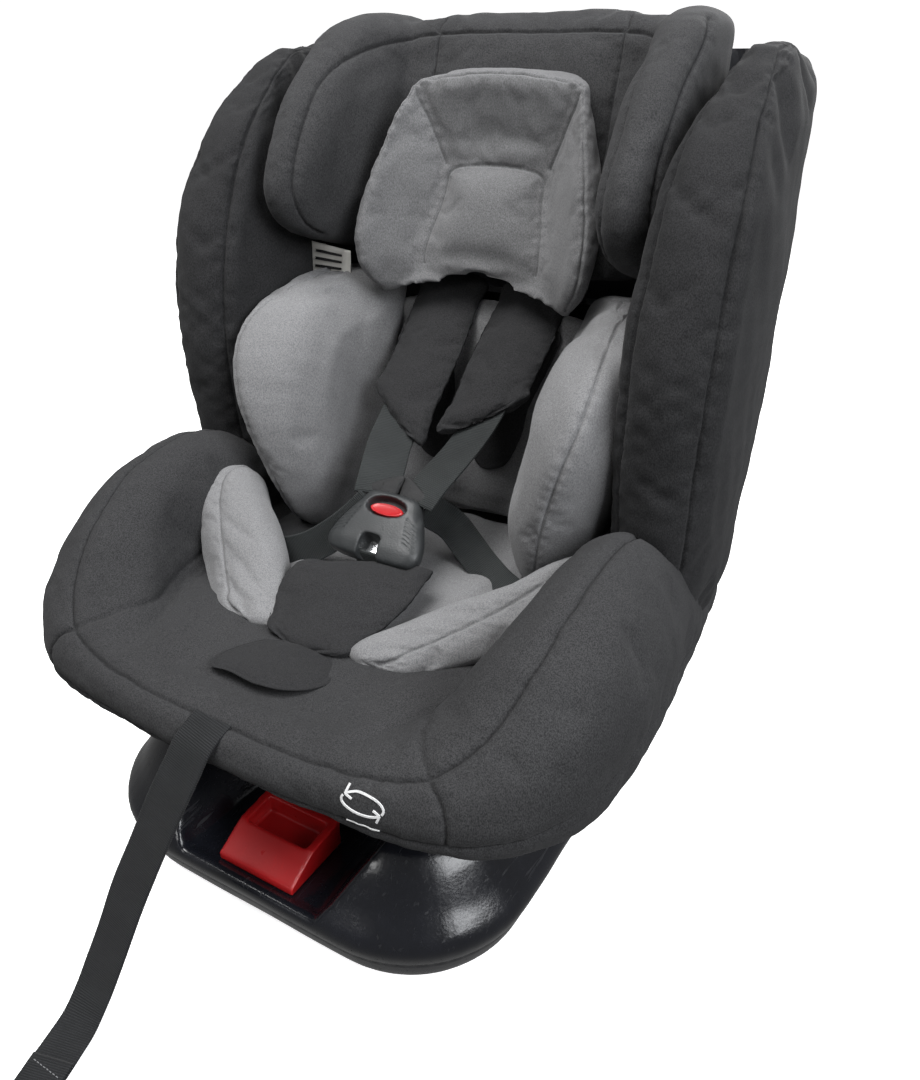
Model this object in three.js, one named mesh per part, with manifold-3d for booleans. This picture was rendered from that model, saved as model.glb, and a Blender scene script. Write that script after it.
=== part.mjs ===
// A convertible child car seat that turns on its base: base, turntable, reclining seat, sliding headrest,
// five-point harness and anchor arms. Millimetres. -Y is the seat's front, +Z is up, and +X is to the right
// for someone who faces the seat. The origin is on the turning axis at floor level.
import * as THREE from "three";
import { mergeVertices } from "three/addons/utils/BufferGeometryUtils.js";
import Module from "manifold-3d";

const wasm = await Module();
wasm.setup();

// Driving dimensions.
const GAP = 0.4; // between pieces that touch
const FOOT_HEIGHT = 3;
const BASE_HALF_WIDTH = 178;
const BASE_FRONT = -259;
const BASE_REAR = 228;
const BASE_CORNER = 98;
const TRAY_HEIGHT = 30;
const RECESS_FLOOR = 48;
const HOUSING_TOP = 105.5;
const WALL = 3;
const DISC_RADIUS = 150;
const DISC_BOTTOM = 107;
const DISC_TOP = 115;
const HUB_RADIUS = 112;
const LOCK_RADIUS = 138; // the lock pin's distance from the turning axis
const ANCHOR_X = 135; // the anchor arms' distance from the centre plane
const ANCHOR_TIP = 270;
const RECLINE_Y = -20;
const RECLINE_Z = 560;
const KEEL_RADIUS = 432;
const DECK_RADIUS = 392;
const PIN_PATH_RADIUS = 415;
const RAIL_TOP_RADIUS = 398;
const RAIL_INNER_X = 82;
const RAIL_OUTER_X = 90;
const SHELL_WALL = 4;
const SEAT_HALF_WIDTH = 200;
const SEAT_FRONT = -256;
const HEM_Z = 150;
const BACK_LEAN = 0.325; // the backrest's slope, Y per Z
const BACK_Y = 105; // the backrest's front face at height BACK_Z
const BACK_Z = 383;
const WEBBING_WIDTH = 38; // the shoulder straps
const ADJUSTER_WIDTH = 30; // the adjuster strap
const WEBBING_THICKNESS = 2;
const BUCKLE_CENTRE = new THREE.Vector3(0, -74, 257);
const BUCKLE_TILT = THREE.MathUtils.degToRad(38);

const PLASTIC = { roughness: 0.35, metalness: 0 };
const FABRIC = { roughness: 0.95, metalness: 0 };
const STEEL = { roughness: 0.35, metalness: 1 };
const RUBBER = { roughness: 0.9, metalness: 0 };
const BLACK = "#1b1c20";
const DARK_FABRIC = "#35363a";
const SEAT_FABRIC = "#2b2c2f";
const PAD_FABRIC = "#29292b";
const GREY_FABRIC = "#85868a";
const WEBBING_BLACK = "#18181a";
const RED = "#b01c1c";
const METAL = "#b9bcc2";

const seatGroup = new THREE.Group();
const sides = [
  ["left", -1],
  ["right", 1],
];

// ---- solids ----

function toSolid(geometry) {
  const plain = geometry.clone();
  plain.deleteAttribute("normal");
  plain.deleteAttribute("uv");
  const merged = mergeVertices(plain, 1e-4);
  return new wasm.Manifold(
    new wasm.Mesh({
      numProp: 3,
      vertProperties: merged.attributes.position.array,
      triVerts: new Uint32Array(merged.index.array),
    }),
  );
}

function toGeometry(solid) {
  const mesh = solid.getMesh();
  const geometry = new THREE.BufferGeometry();
  geometry.setAttribute("position", new THREE.BufferAttribute(new Float32Array(mesh.vertProperties), 3));
  geometry.setIndex(new THREE.BufferAttribute(new Uint32Array(mesh.triVerts), 1));
  geometry.computeVertexNormals();
  return geometry;
}

function add(name, solid, color, finish) {
  const material = new THREE.MeshStandardMaterial({ color, ...finish });
  const mesh = new THREE.Mesh(toGeometry(solid), material);
  mesh.name = name;
  seatGroup.add(mesh);
}

function largest(solid) {
  const bodies = solid.decompose();
  bodies.sort((a, b) => b.volume() - a.volume());
  return bodies[0];
}

// A body through equal rings of points, closed at both ends, with its faces pointing out.
function loft(rings) {
  const count = rings[0].length;
  const points = rings.flat();
  const faces = [];
  for (let r = 0; r < rings.length - 1; r++) {
    for (let i = 0; i < count; i++) {
      const a = r * count + i;
      const b = r * count + ((i + 1) % count);
      faces.push([a, b, b + count], [a, b + count, a + count]);
    }
  }
  for (const [ring, turn] of [
    [0, true],
    [rings.length - 1, false],
  ]) {
    const centre = new THREE.Vector3();
    rings[ring].forEach((p) => centre.addScaledVector(p, 1 / count));
    points.push(centre);
    for (let i = 0; i < count; i++) {
      const a = ring * count + i;
      const b = ring * count + ((i + 1) % count);
      faces.push(turn ? [b, a, points.length - 1] : [a, b, points.length - 1]);
    }
  }
  const volume = faces.reduce(
    (sum, [a, b, c]) => sum + points[a].dot(points[b].clone().cross(points[c])),
    0,
  );
  const geometry = new THREE.BufferGeometry();
  geometry.setAttribute("position", new THREE.Float32BufferAttribute(points.flatMap((p) => p.toArray()), 3));
  geometry.setIndex(faces.flatMap(([a, b, c]) => (volume > 0 ? [a, b, c] : [a, c, b])));
  return toSolid(geometry);
}

// A rounded ring: place(u, v) puts each point of a superellipse, u and v from -1 to 1.
function ring(count, power, place) {
  const points = [];
  for (let i = 0; i < count; i++) {
    const angle = ((i + 0.5) / count) * 2 * Math.PI;
    const u = Math.sign(Math.cos(angle)) * Math.abs(Math.cos(angle)) ** (2 / power);
    const v = Math.sign(Math.sin(angle)) * Math.abs(Math.sin(angle)) ** (2 / power);
    points.push(place(u, v));
  }
  return points;
}

function box(x0, x1, y0, y1, z0, z1) {
  const geometry = new THREE.BoxGeometry(x1 - x0, y1 - y0, z1 - z0);
  geometry.translate((x0 + x1) / 2, (y0 + y1) / 2, (z0 + z1) / 2);
  return toSolid(geometry);
}

function cylinder(radius, x, y, z0, z1, segments = 24) {
  const geometry = new THREE.CylinderGeometry(radius, radius, z1 - z0, segments);
  geometry.rotateX(Math.PI / 2);
  geometry.translate(x, y, (z0 + z1) / 2);
  return toSolid(geometry);
}

function pinAlongX(radius, x0, x1, y, z, segments = 12) {
  const geometry = new THREE.CylinderGeometry(radius, radius, x1 - x0, segments);
  geometry.rotateZ(Math.PI / 2);
  geometry.translate((x0 + x1) / 2, y, z);
  return toSolid(geometry);
}

// A ring about the turning axis with a rectangular section.
function washer(inner, outer, z0, z1, segments = 30) {
  const profile = [
    [inner, z0],
    [outer, z0],
    [outer, z1],
    [inner, z1],
    [inner, z0],
  ].map(([r, z]) => new THREE.Vector2(r, z));
  const geometry = new THREE.LatheGeometry(profile, segments);
  geometry.rotateX(Math.PI / 2);
  return toSolid(geometry);
}

// A plate with an outline of [y, z] points, from x0 to x1.
function plateAlongX(outline, x0, x1) {
  const shape = new THREE.Shape(outline.map(([y, z]) => new THREE.Vector2(y, z)));
  const geometry = new THREE.ExtrudeGeometry(shape, { depth: x1 - x0, bevelEnabled: false });
  const turn = new THREE.Matrix4().makeBasis(
    new THREE.Vector3(0, 1, 0),
    new THREE.Vector3(0, 0, 1),
    new THREE.Vector3(1, 0, 0),
  );
  geometry.applyMatrix4(turn);
  geometry.translate(x0, 0, 0);
  return toSolid(geometry);
}

// A curve for flat webbing: its width keeps to one direction, so that the webbing doesn't twist.
class WebbingCurve extends THREE.CatmullRomCurve3 {
  constructor(points, side) {
    super(points.map((p) => new THREE.Vector3(...p)));
    this.side = side;
  }
  computeFrenetFrames(segments) {
    const frames = { tangents: [], normals: [], binormals: [] };
    for (let i = 0; i <= segments; i++) {
      const tangent = this.getTangentAt(i / segments);
      const across = this.side.clone().addScaledVector(tangent, -this.side.dot(tangent)).normalize();
      frames.tangents.push(tangent);
      frames.normals.push(across);
      frames.binormals.push(tangent.clone().cross(across));
    }
    return frames;
  }
}

// An eight-sided flat section, width across and thickness through.
function webbingSection(width, thickness) {
  const edge = thickness / 2;
  const points = [
    [width / 2, 0.4 * edge],
    [width / 2 - edge, edge],
    [edge - width / 2, edge],
    [-width / 2, 0.4 * edge],
    [-width / 2, -0.4 * edge],
    [edge - width / 2, -edge],
    [width / 2 - edge, -edge],
    [width / 2, -0.4 * edge],
  ];
  return new THREE.Shape(points.map(([x, y]) => new THREE.Vector2(x, y)));
}

// Flat webbing along a curve through the points; side is the direction of its width.
function webbing(points, side, width, steps) {
  const geometry = new THREE.ExtrudeGeometry(webbingSection(width, WEBBING_THICKNESS), {
    steps,
    extrudePath: new WebbingCurve(points, side),
  });
  return toSolid(geometry);
}

// The station at t between the listed ones, whose first entries are in order.
function stationAt(stations, t) {
  let i = 0;
  while (i < stations.length - 2 && t > stations[i + 1][0]) i++;
  const [a, b] = [stations[i], stations[i + 1]];
  const s = THREE.MathUtils.clamp((t - a[0]) / (b[0] - a[0]), 0, 1);
  return a.map((value, k) => value + (b[k] - value) * s);
}

const backFace = (z) => BACK_Y + (z - BACK_Z) * BACK_LEAN;
const arcHeight = (radius, y) => RECLINE_Z - Math.sqrt(radius ** 2 - (y - RECLINE_Y) ** 2);
const alongX = new THREE.Vector3(1, 0, 0);

// ---- base ----

// A horizontal ring of the base's rounded outline, drawn in by inset.
function baseRing(inset, z) {
  const halfWidth = BASE_HALF_WIDTH - inset;
  const radius = Math.max(BASE_CORNER - inset, 8);
  const front = BASE_FRONT + inset;
  const rear = BASE_REAR - inset;
  const corners = [
    [halfWidth - radius, rear - radius, 0],
    [-halfWidth + radius, rear - radius, 90],
    [-halfWidth + radius, front + radius, 180],
    [halfWidth - radius, front + radius, 270],
  ];
  const points = [];
  const stepsPerCorner = 9;
  for (const [x, y, start] of corners) {
    for (let i = 0; i <= stepsPerCorner; i++) {
      const angle = THREE.MathUtils.degToRad(start + (90 * i) / stepsPerCorner);
      points.push(new THREE.Vector3(x + radius * Math.cos(angle), y + radius * Math.sin(angle), z));
    }
  }
  return points;
}

function baseLoft(levels) {
  return loft(levels.map(([inset, z]) => baseRing(inset, z)));
}

const PEDESTAL_OUTER = 108;
const PEDESTAL_INNER = 72;
const PEDESTAL_TOP = 80;
const PIVOT_RADIUS = 12;
const WEB_BOTTOM = 30;
const WEB_TOP = 38;

// The skirt's and the dome's levels: how far the outline is drawn in, and the height.
const SKIRT_LEVELS = [
  [21, FOOT_HEIGHT],
  [15, 9],
  [9, 19],
  [6, TRAY_HEIGHT],
];

function makeTray() {
  const floorTop = FOOT_HEIGHT + WALL;
  const outer = baseLoft(SKIRT_LEVELS);
  const inner = baseLoft(
    SKIRT_LEVELS.map(([inset, z], i) => [
      inset + WALL,
      i === SKIRT_LEVELS.length - 1 ? z + 1 : z + (floorTop - FOOT_HEIGHT),
    ]),
  );
  const web = cylinder(PEDESTAL_INNER + 1, 0, 0, WEB_BOTTOM, WEB_TOP, 30).subtract(
    cylinder(PIVOT_RADIUS + GAP, 0, 0, WEB_BOTTOM - 1, WEB_TOP + 1),
  );
  return outer
    .subtract(inner)
    .add(washer(PEDESTAL_INNER, PEDESTAL_OUTER, floorTop - 1, PEDESTAL_TOP))
    .add(web);
}

const DOME_LEVELS = [
  [6, TRAY_HEIGHT + GAP],
  [1.5, 38],
  [0, 46],
  [2, 54],
  [8, 64],
  [16, 76],
  [26, 90],
  [36, 100],
  [46, HOUSING_TOP],
];

// The front recess: a trapezium hollow above the rim, grown by grow on its closed sides.
function recessBlock(grow) {
  const level = (z, half) => [
    new THREE.Vector3(-half - grow, BASE_FRONT - 20, z),
    new THREE.Vector3(half + grow, BASE_FRONT - 20, z),
    new THREE.Vector3(half + grow - 4, -172 + grow, z),
    new THREE.Vector3(-half - grow + 4, -172 + grow, z),
  ];
  return loft([level(RECESS_FLOOR - grow, 58), level(HOUSING_TOP + 4, 96)]);
}

const HANDLE_HALF_WIDTH = 34;
const HANDLE_BOTTOM = RECESS_FLOOR + GAP;
const HANDLE_FRONT = -247;
const HANDLE_BACK = -190;
const BAR_BOTTOM = 54;
const BAR_TOP = 60;
const GUIDE_HALF = 18;
const GUIDE_BOTTOM = 36;
const GUIDE_TOP = 64;

function makeHousing() {
  const outer = baseLoft(DOME_LEVELS);
  const inner = baseLoft(
    DOME_LEVELS.map(([inset, z], i) => {
      if (i === 0) return [inset + WALL, z - 1];
      return [inset + WALL, i === DOME_LEVELS.length - 1 ? z - WALL : z - 0.5 * i];
    }),
  );
  let housing = outer.subtract(inner).add(recessBlock(WALL).intersect(outer)).subtract(recessBlock(0));
  housing = housing.subtract(cylinder(HUB_RADIUS + 3, 0, 0, HOUSING_TOP - 10, HOUSING_TOP + 5, 36));
  housing = housing.subtract(cylinder(4.6, 0, -LOCK_RADIUS, HOUSING_TOP - 10, HOUSING_TOP + 5, 16));
  housing = housing.subtract(box(-13.5, 13.5, -180, -160, BAR_BOTTOM - 1.5, BAR_TOP + 1.5));
  for (const [, side] of sides) {
    const x = side * ANCHOR_X;
    const half = GUIDE_HALF + 0.8;
    housing = housing.subtract(
      box(x - half, x + half, 150, BASE_REAR + 10, GUIDE_BOTTOM - 0.8, GUIDE_TOP + 0.8),
    );
  }
  return largest(housing);
}

function makeHandle() {
  const body = plateAlongX(
    [
      [HANDLE_FRONT, HANDLE_BOTTOM],
      [HANDLE_BACK, HANDLE_BOTTOM],
      [HANDLE_BACK, 71],
      [-222, 68],
      [HANDLE_FRONT + 1, 54],
    ],
    -HANDLE_HALF_WIDTH,
    HANDLE_HALF_WIDTH,
  );
  const pocket = box(-27, 27, -222, -197, 55, 80);
  const bar = box(-12, 12, HANDLE_BACK - 2, -118, BAR_BOTTOM, BAR_TOP);
  const fork = box(-6, 6, -148, -110, BAR_BOTTOM - 1, BAR_TOP + 1);
  return body.subtract(pocket).add(bar.subtract(fork));
}

function makeLockPin() {
  const tip = cylinder(4, 0, -LOCK_RADIUS, 50, DISC_BOTTOM + 2.5, 16);
  const flange = cylinder(9, 0, -LOCK_RADIUS, 49, BAR_BOTTOM - GAP, 20);
  const stem = cylinder(3, 0, -LOCK_RADIUS, 26, 50, 12);
  return tip.add(flange).add(stem);
}

// A coil spring about the lock pin's stem.
class SpringCurve extends THREE.Curve {
  constructor(x, y, z0, z1, radius, turns) {
    super();
    Object.assign(this, { x, y, z0, z1, radius, turns });
  }
  getPoint(t, target = new THREE.Vector3()) {
    const angle = 2 * Math.PI * this.turns * t;
    const z = this.z0 + (this.z1 - this.z0) * t;
    return target.set(this.x + this.radius * Math.cos(angle), this.y + this.radius * Math.sin(angle), z);
  }
}

function polygonShape(sidesCount, halfWidth, halfHeight) {
  const points = [];
  for (let i = 0; i < sidesCount; i++) {
    const angle = ((i + 0.5) / sidesCount) * 2 * Math.PI;
    points.push(new THREE.Vector2(halfWidth * Math.cos(angle), halfHeight * Math.sin(angle)));
  }
  return new THREE.Shape(points);
}

const SPRING_WIRE = 1;
const SPRING_BOTTOM = FOOT_HEIGHT + WALL + 1.5;

function makeSpring() {
  const turns = 5;
  const curve = new SpringCurve(0, -LOCK_RADIUS, SPRING_BOTTOM, 47.5, 6, turns);
  const geometry = new THREE.ExtrudeGeometry(polygonShape(6, SPRING_WIRE, SPRING_WIRE), {
    steps: turns * 10,
    extrudePath: curve,
  });
  return toSolid(geometry);
}

function makeGuide(x) {
  const inside = GUIDE_HALF - 3;
  return box(x - GUIDE_HALF, x + GUIDE_HALF, 30, BASE_REAR - 2, GUIDE_BOTTOM, GUIDE_TOP).subtract(
    box(x - inside, x + inside, 20, BASE_REAR + 5, GUIDE_BOTTOM + 3, GUIDE_TOP - 3),
  );
}

// An anchor arm: a square bar whose end is slotted for the anchor and grooved for its hook.
const ARM_HALF = 13;
const ARM_BOTTOM = 40;
const ARM_TOP = 60;
const SLOT_LOW = 46;
const SLOT_HIGH = 54;
const SLOT_DEPTH = 20;
const HOOK_HALF = 3.4;
const HOOK_PIVOT_Y = ANCHOR_TIP - 36;
const HOOK_PIVOT_Z = 55.5;

function makeArm(x, side) {
  const face = x + side * ARM_HALF;
  const pocketEnds = [face - side * 4, face + side * 1].sort((a, b) => a - b);
  return box(x - ARM_HALF, x + ARM_HALF, 60, ANCHOR_TIP, ARM_BOTTOM, ARM_TOP)
    .subtract(box(x - 20, x + 20, ANCHOR_TIP - SLOT_DEPTH, ANCHOR_TIP + 2, SLOT_LOW, SLOT_HIGH))
    .subtract(box(x - 4, x + 4, ANCHOR_TIP - 46, ANCHOR_TIP + 2, SLOT_LOW, ARM_TOP + 2))
    .subtract(box(pocketEnds[0], pocketEnds[1], ANCHOR_TIP - 42, ANCHOR_TIP - 26, 44, 56));
}

function makeHook(x) {
  const tip = ANCHOR_TIP - 2;
  return plateAlongX(
    [
      [HOOK_PIVOT_Y - 6, 52],
      [HOOK_PIVOT_Y + 6, 52],
      [HOOK_PIVOT_Y + 8, SLOT_HIGH + 0.8],
      [tip - 5, SLOT_HIGH + 0.8],
      [tip - 5, SLOT_LOW + 0.8],
      [tip, SLOT_LOW + 0.8],
      [tip, 57],
      [tip - 4, ARM_TOP],
      [HOOK_PIVOT_Y - 6, ARM_TOP],
    ],
    x - HOOK_HALF,
    x + HOOK_HALF,
  );
}

function makeRelease(x, side) {
  const face = x + side * ARM_HALF;
  const ends = [face - side * 1.2, face + side * 2].sort((a, b) => a - b);
  return box(ends[0], ends[1], ANCHOR_TIP - 41.5, ANCHOR_TIP - 26.5, 44.5, 55.5);
}

function addBase() {
  add("base_tray", makeTray(), BLACK, PLASTIC);
  add("base_housing", makeHousing(), BLACK, PLASTIC);
  add("rotation_handle", makeHandle(), RED, PLASTIC);
  add("lock_pin", makeLockPin(), METAL, STEEL);
  add("lock_spring", makeSpring(), METAL, STEEL);
  add("lower_bearing_race", washer(76, 104, PEDESTAL_TOP + GAP, 86), METAL, STEEL);
  for (const [name, side] of sides) {
    const x = side * ANCHOR_X;
    const stripX = [side * 120, side * 150].sort((a, b) => a - b);
    add("rubber_strip_" + name, box(stripX[0], stripX[1], -150, 150, 0, FOOT_HEIGHT - GAP), BLACK, RUBBER);
    add("anchor_guide_" + name, makeGuide(x), METAL, STEEL);
    add("anchor_arm_" + name, makeArm(x, side), METAL, STEEL);
    add("anchor_hook_" + name, makeHook(x), METAL, STEEL);
    add("anchor_release_" + name, makeRelease(x, side), RED, PLASTIC);
  }
}

// ---- turntable ----

function makeDisc() {
  const plate = cylinder(DISC_RADIUS, 0, 0, DISC_BOTTOM, DISC_TOP, 40);
  const hub = cylinder(HUB_RADIUS, 0, 0, 93, DISC_BOTTOM + 1, 32);
  const groove = washer(LOCK_RADIUS - 6, LOCK_RADIUS + 6, DISC_BOTTOM - 1, DISC_BOTTOM + 4, 40);
  const bore = cylinder(PIVOT_RADIUS - 2 + GAP, 0, 0, 80, DISC_TOP + 1);
  return plate.add(hub).subtract(groove).subtract(bore);
}

function makePivot() {
  const shank = cylinder(PIVOT_RADIUS, 0, 0, 18, 93 - GAP);
  const spigot = cylinder(PIVOT_RADIUS - 2, 0, 0, 90, DISC_TOP - 1);
  return shank.add(spigot).add(cylinder(28, 0, 0, 16, 22, 32));
}

// A curved recline rail with a slot that the seat's guide pins run in.
function makeRail(x0, x1) {
  const arc = (radius, from, to, steps) => {
    const points = [];
    for (let i = 0; i <= steps; i++) {
      const y = from + ((to - from) * i) / steps;
      points.push([y, arcHeight(radius, y)]);
    }
    return points;
  };
  const top = arc(RAIL_TOP_RADIUS, -112, 69, 10);
  const body = plateAlongX([[69, DISC_TOP + GAP], [-112, DISC_TOP + GAP], ...top].reverse(), x0, x1);
  const upper = arc(PIN_PATH_RADIUS - 4.8, -102, 59, 10);
  const lower = arc(PIN_PATH_RADIUS + 4.8, -102, 59, 10).reverse();
  return body.subtract(plateAlongX([...upper, ...lower].reverse(), x0 - 1, x1 + 1));
}

function addTurntable() {
  add("turntable_disc", makeDisc(), BLACK, PLASTIC);
  add("centre_pivot", makePivot(), METAL, STEEL);
  add("upper_bearing_race", washer(76, 104, 87, 93 - GAP), METAL, STEEL);
  add("recline_rail_left", makeRail(-RAIL_OUTER_X, -RAIL_INNER_X), METAL, STEEL);
  add("recline_rail_right", makeRail(RAIL_INNER_X, RAIL_OUTER_X), METAL, STEEL);
}

// ---- seat shells ----

const DECK_STEP = -118; // in front of it the pan's floor is flat, behind it follows the recline arc
const FRONT_FLOOR = 158;
const KEEL_REAR = 128;
const KEEL_HALF_WIDTH = 78;

// Stations of the seat pan: y, half width, bottom height, top height.
const PAN_STATIONS = [
  [SEAT_FRONT, 118, FRONT_FLOOR + 2, 172],
  [SEAT_FRONT + 10, 150, FRONT_FLOOR, 178],
  [-225, 178, FRONT_FLOOR, 184],
  [-180, 196, FRONT_FLOOR, 196],
  [-120, SEAT_HALF_WIDTH, FRONT_FLOOR, 210],
  [-100, SEAT_HALF_WIDTH, 152, 212],
  [0, SEAT_HALF_WIDTH, 152, 214],
  [90, 196, 154, 214],
  [140, 186, 172, 214],
  [172, 168, 196, 214],
];

function panBlock(grow) {
  return loft(
    PAN_STATIONS.map(([y, half, low, high], i) => {
      const shift = i === 0 ? -grow : i === PAN_STATIONS.length - 1 ? grow : 0;
      const middle = (low + high) / 2;
      return ring(
        16,
        7,
        (u, v) =>
          new THREE.Vector3((half + grow) * u, y + shift, middle + v * ((high - low) / 2 + grow)),
      );
    }),
  );
}

// A prism across the seat whose lower or upper edge is an arc about the recline axis.
function arcPrism(radius, y0, y1, halfWidth, otherEdge) {
  const outline = [];
  const steps = 12;
  for (let i = 0; i <= steps; i++) {
    const y = y0 + ((y1 - y0) * i) / steps;
    outline.push([y, arcHeight(radius, y)]);
  }
  outline.push([y1, otherEdge], [y0, otherEdge]);
  if (otherEdge < outline[0][1]) outline.reverse();
  return plateAlongX(outline, -halfWidth, halfWidth);
}

function makePan(grow) {
  const wall = SHELL_WALL + grow;
  const inside = panBlock(-wall);
  const opened = inside.add(inside.translate([0, 0, 14])).add(inside.translate([0, 0, -14]));
  const aboveDeck = arcPrism(DECK_RADIUS - wall, DECK_STEP - wall, 240, 300, 320).add(
    box(-300, 300, -300, DECK_STEP - wall + 1, FRONT_FLOOR + wall, 320),
  );
  const belowDeck = arcPrism(DECK_RADIUS + grow, DECK_STEP + grow, 240, 300, 60);
  const keelOuter = arcPrism(KEEL_RADIUS + grow, DECK_STEP - grow, KEEL_REAR + grow, KEEL_HALF_WIDTH + grow, 182);
  const keelInner = arcPrism(
    KEEL_RADIUS - wall,
    DECK_STEP + wall,
    KEEL_REAR - wall,
    KEEL_HALF_WIDTH - wall,
    240,
  );
  let pan = panBlock(grow).subtract(opened.intersect(aboveDeck)).subtract(opened.intersect(belowDeck));
  pan = pan.add(keelOuter).subtract(keelInner);
  for (const y of [-8, 52]) {
    for (const side of [-1, 1]) {
      const ends = [side * 76, side * 93].sort((a, b) => a - b);
      pan = pan.add(pinAlongX(4, ends[0], ends[1], y, arcHeight(PIN_PATH_RADIUS, y)));
    }
  }
  return largest(pan);
}

// Stations of the rear shell: z, half width, front, rear.
const BACK_STATIONS = [
  [218, 180, 62, 196],
  [250, 198, -8, 210],
  [310, 204, -32, 214],
  [400, 206, -36, 220],
  [480, 206, -12, 230],
  [530, 201, 34, 238],
  [554, 190, 76, 240],
  [570, 168, 126, 240],
];

function backBlock(grow, forward, rise) {
  return loft(
    BACK_STATIONS.map(([z, half, front, rear], i) => {
      const shift = i === 0 ? -grow : i === BACK_STATIONS.length - 1 ? grow + rise : 0;
      const middle = (front + rear) / 2 - forward / 2;
      const halfDepth = (rear - front) / 2 + grow + forward / 2;
      return ring(20, 6, (u, v) => new THREE.Vector3((half + grow) * u, middle + halfDepth * v, z + shift));
    }),
  );
}

function makeBackShell(grow) {
  return backBlock(grow, 0, 0).subtract(backBlock(-SHELL_WALL - grow, 90, 30));
}

// ---- soft covers ----

// Stations of a side wing: z, inner face, outer face, front, rear.
const WING_STATIONS = [
  [166, 172, 214, 10, 130],
  [200, 166, 219, -30, 196],
  [260, 163, 223, -45, 220],
  [310, 162, 225, -50, 223],
  [370, 162, 226, -53, 226],
  [430, 162, 226, -46, 232],
  [487, 163, 224, -20, 240],
  [530, 165, 220, 14, 243],
  [556, 170, 215, 46, 243],
  [574, 178, 206, 84, 232],
];

function makeWing(side, grow) {
  return loft(
    WING_STATIONS.map(([z, inner, outer, front, rear], i) => {
      const shift = i === 0 ? -grow : i === WING_STATIONS.length - 1 ? grow : 0;
      const x = (inner + outer) / 2;
      const y = (front + rear) / 2;
      return ring(
        16,
        3.2,
        (u, v) =>
          new THREE.Vector3(
            side * (x + ((outer - inner) / 2 + grow) * u),
            y + ((rear - front) / 2 + grow) * v,
            z + shift,
          ),
      );
    }),
  );
}

// Stations of a seat bolster: y, inner face, outer face, bottom, top.
const BOLSTER_STATIONS = [
  [-252, 118, 158, 152, 196],
  [-236, 122, 192, HEM_Z, 218],
  [-205, 136, 217, HEM_Z, 254],
  [-160, 146, 226, HEM_Z, 279],
  [-110, 150, 228, HEM_Z, 291],
  [-60, 151, 226, HEM_Z, 288],
  [-20, 156, 221, HEM_Z, 270],
  [30, 166, 216, HEM_Z, 220],
  [100, 174, 208, HEM_Z, 200],
];

function makeBolster(side, grow) {
  return loft(
    BOLSTER_STATIONS.map(([y, inner, outer, low, high], i) => {
      const shift = i === 0 ? -grow : i === BOLSTER_STATIONS.length - 1 ? grow : 0;
      const x = (inner + outer) / 2;
      const z = (low + high) / 2;
      return ring(
        14,
        3,
        (u, v) =>
          new THREE.Vector3(
            side * (x + ((outer - inner) / 2 + grow) * u),
            y + shift,
            z + ((high - low) / 2 + grow) * v,
          ),
      );
    }),
  );
}

function makeFrontRoll(grow) {
  const stations = [
    [-117, -250, -215],
    [-60, -266, -228],
    [0, -270, -232],
    [60, -266, -228],
    [117, -250, -215],
  ];
  return loft(
    stations.map(([x, front, rear]) =>
      ring(
        14,
        3,
        (u, v) =>
          new THREE.Vector3(
            x,
            (front + rear) / 2 + ((rear - front) / 2 + grow) * u,
            173.5 + (23.5 + grow) * v,
          ),
      ),
    ),
  );
}

// The seat cushion between the bolsters, as stations of y, half width and top height.
function makeSeatCushion(grow) {
  const stations = [
    [-227, 112, 195],
    [-190, 130, 198],
    [-120, 144, 197],
    [-40, 148, 196],
    [40, 146, 204],
    [70, 140, 212],
  ];
  return loft(
    stations.map(([y, half, top], i) => {
      const shift = i === 0 ? -grow : i === stations.length - 1 ? grow : 0;
      const low = 176;
      return ring(
        16,
        7,
        (u, v) =>
          new THREE.Vector3((half + grow) * u, y + shift, (low + top) / 2 + ((top - low) / 2 + grow) * v),
      );
    }),
  );
}

function makeBackCushion(grow) {
  const stations = [
    [226, 138],
    [300, 146],
    [388, 148],
  ];
  return loft(
    stations.map(([z, half]) =>
      ring(16, 8, (u, v) => new THREE.Vector3((half + grow) * u, backFace(z) + 9 + (9 + grow) * v, z)),
    ),
  );
}

// Stations of a torso insert wing: z, centre x, centre y, half length, half thickness.
const TORSO_STATIONS = [
  [208, 111, 0, 34, 14],
  [240, 116, 2, 54, 23],
  [300, 128, 5, 71, 29],
  [350, 131, 14, 75, 29],
  [390, 131, 32, 69, 28],
  [412, 129, 54, 48, 20],
];

function makeTorsoInsert(side, grow) {
  const along = new THREE.Vector2(0.13, -0.9915);
  return loft(
    TORSO_STATIONS.map(([z, x, y, length, thickness], i) => {
      const shift = i === 0 ? -grow : i === TORSO_STATIONS.length - 1 ? grow : 0;
      return ring(14, 2.6, (u, v) => {
        const a = (length + grow) * u;
        const b = (thickness + grow) * v;
        return new THREE.Vector3(
          side * (x + along.x * a - along.y * b),
          y + along.y * a + along.x * b,
          z + shift,
        );
      });
    }),
  );
}

// Stations of a thigh insert wing: y, centre x, centre z, half width, half height.
const THIGH_STATIONS = [
  [-52, 140, 246, 12, 26],
  [-80, 140, 243, 17, 34],
  [-115, 126, 229, 26, 28],
  [-145, 98, 213, 34, 14],
  [-168, 72, 204, 24, 6],
];

function makeThighInsert(side, grow) {
  return loft(
    THIGH_STATIONS.map(([y, x, z, halfWidth, halfHeight], i) => {
      const shift = i === 0 ? grow : i === THIGH_STATIONS.length - 1 ? -grow : 0;
      return ring(
        14,
        2.6,
        (u, v) =>
          new THREE.Vector3(
            side * (x + (halfWidth + grow) * u),
            y + shift,
            z + (halfHeight + grow) * v,
          ),
      );
    }),
  );
}

// ---- harness ----

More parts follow.
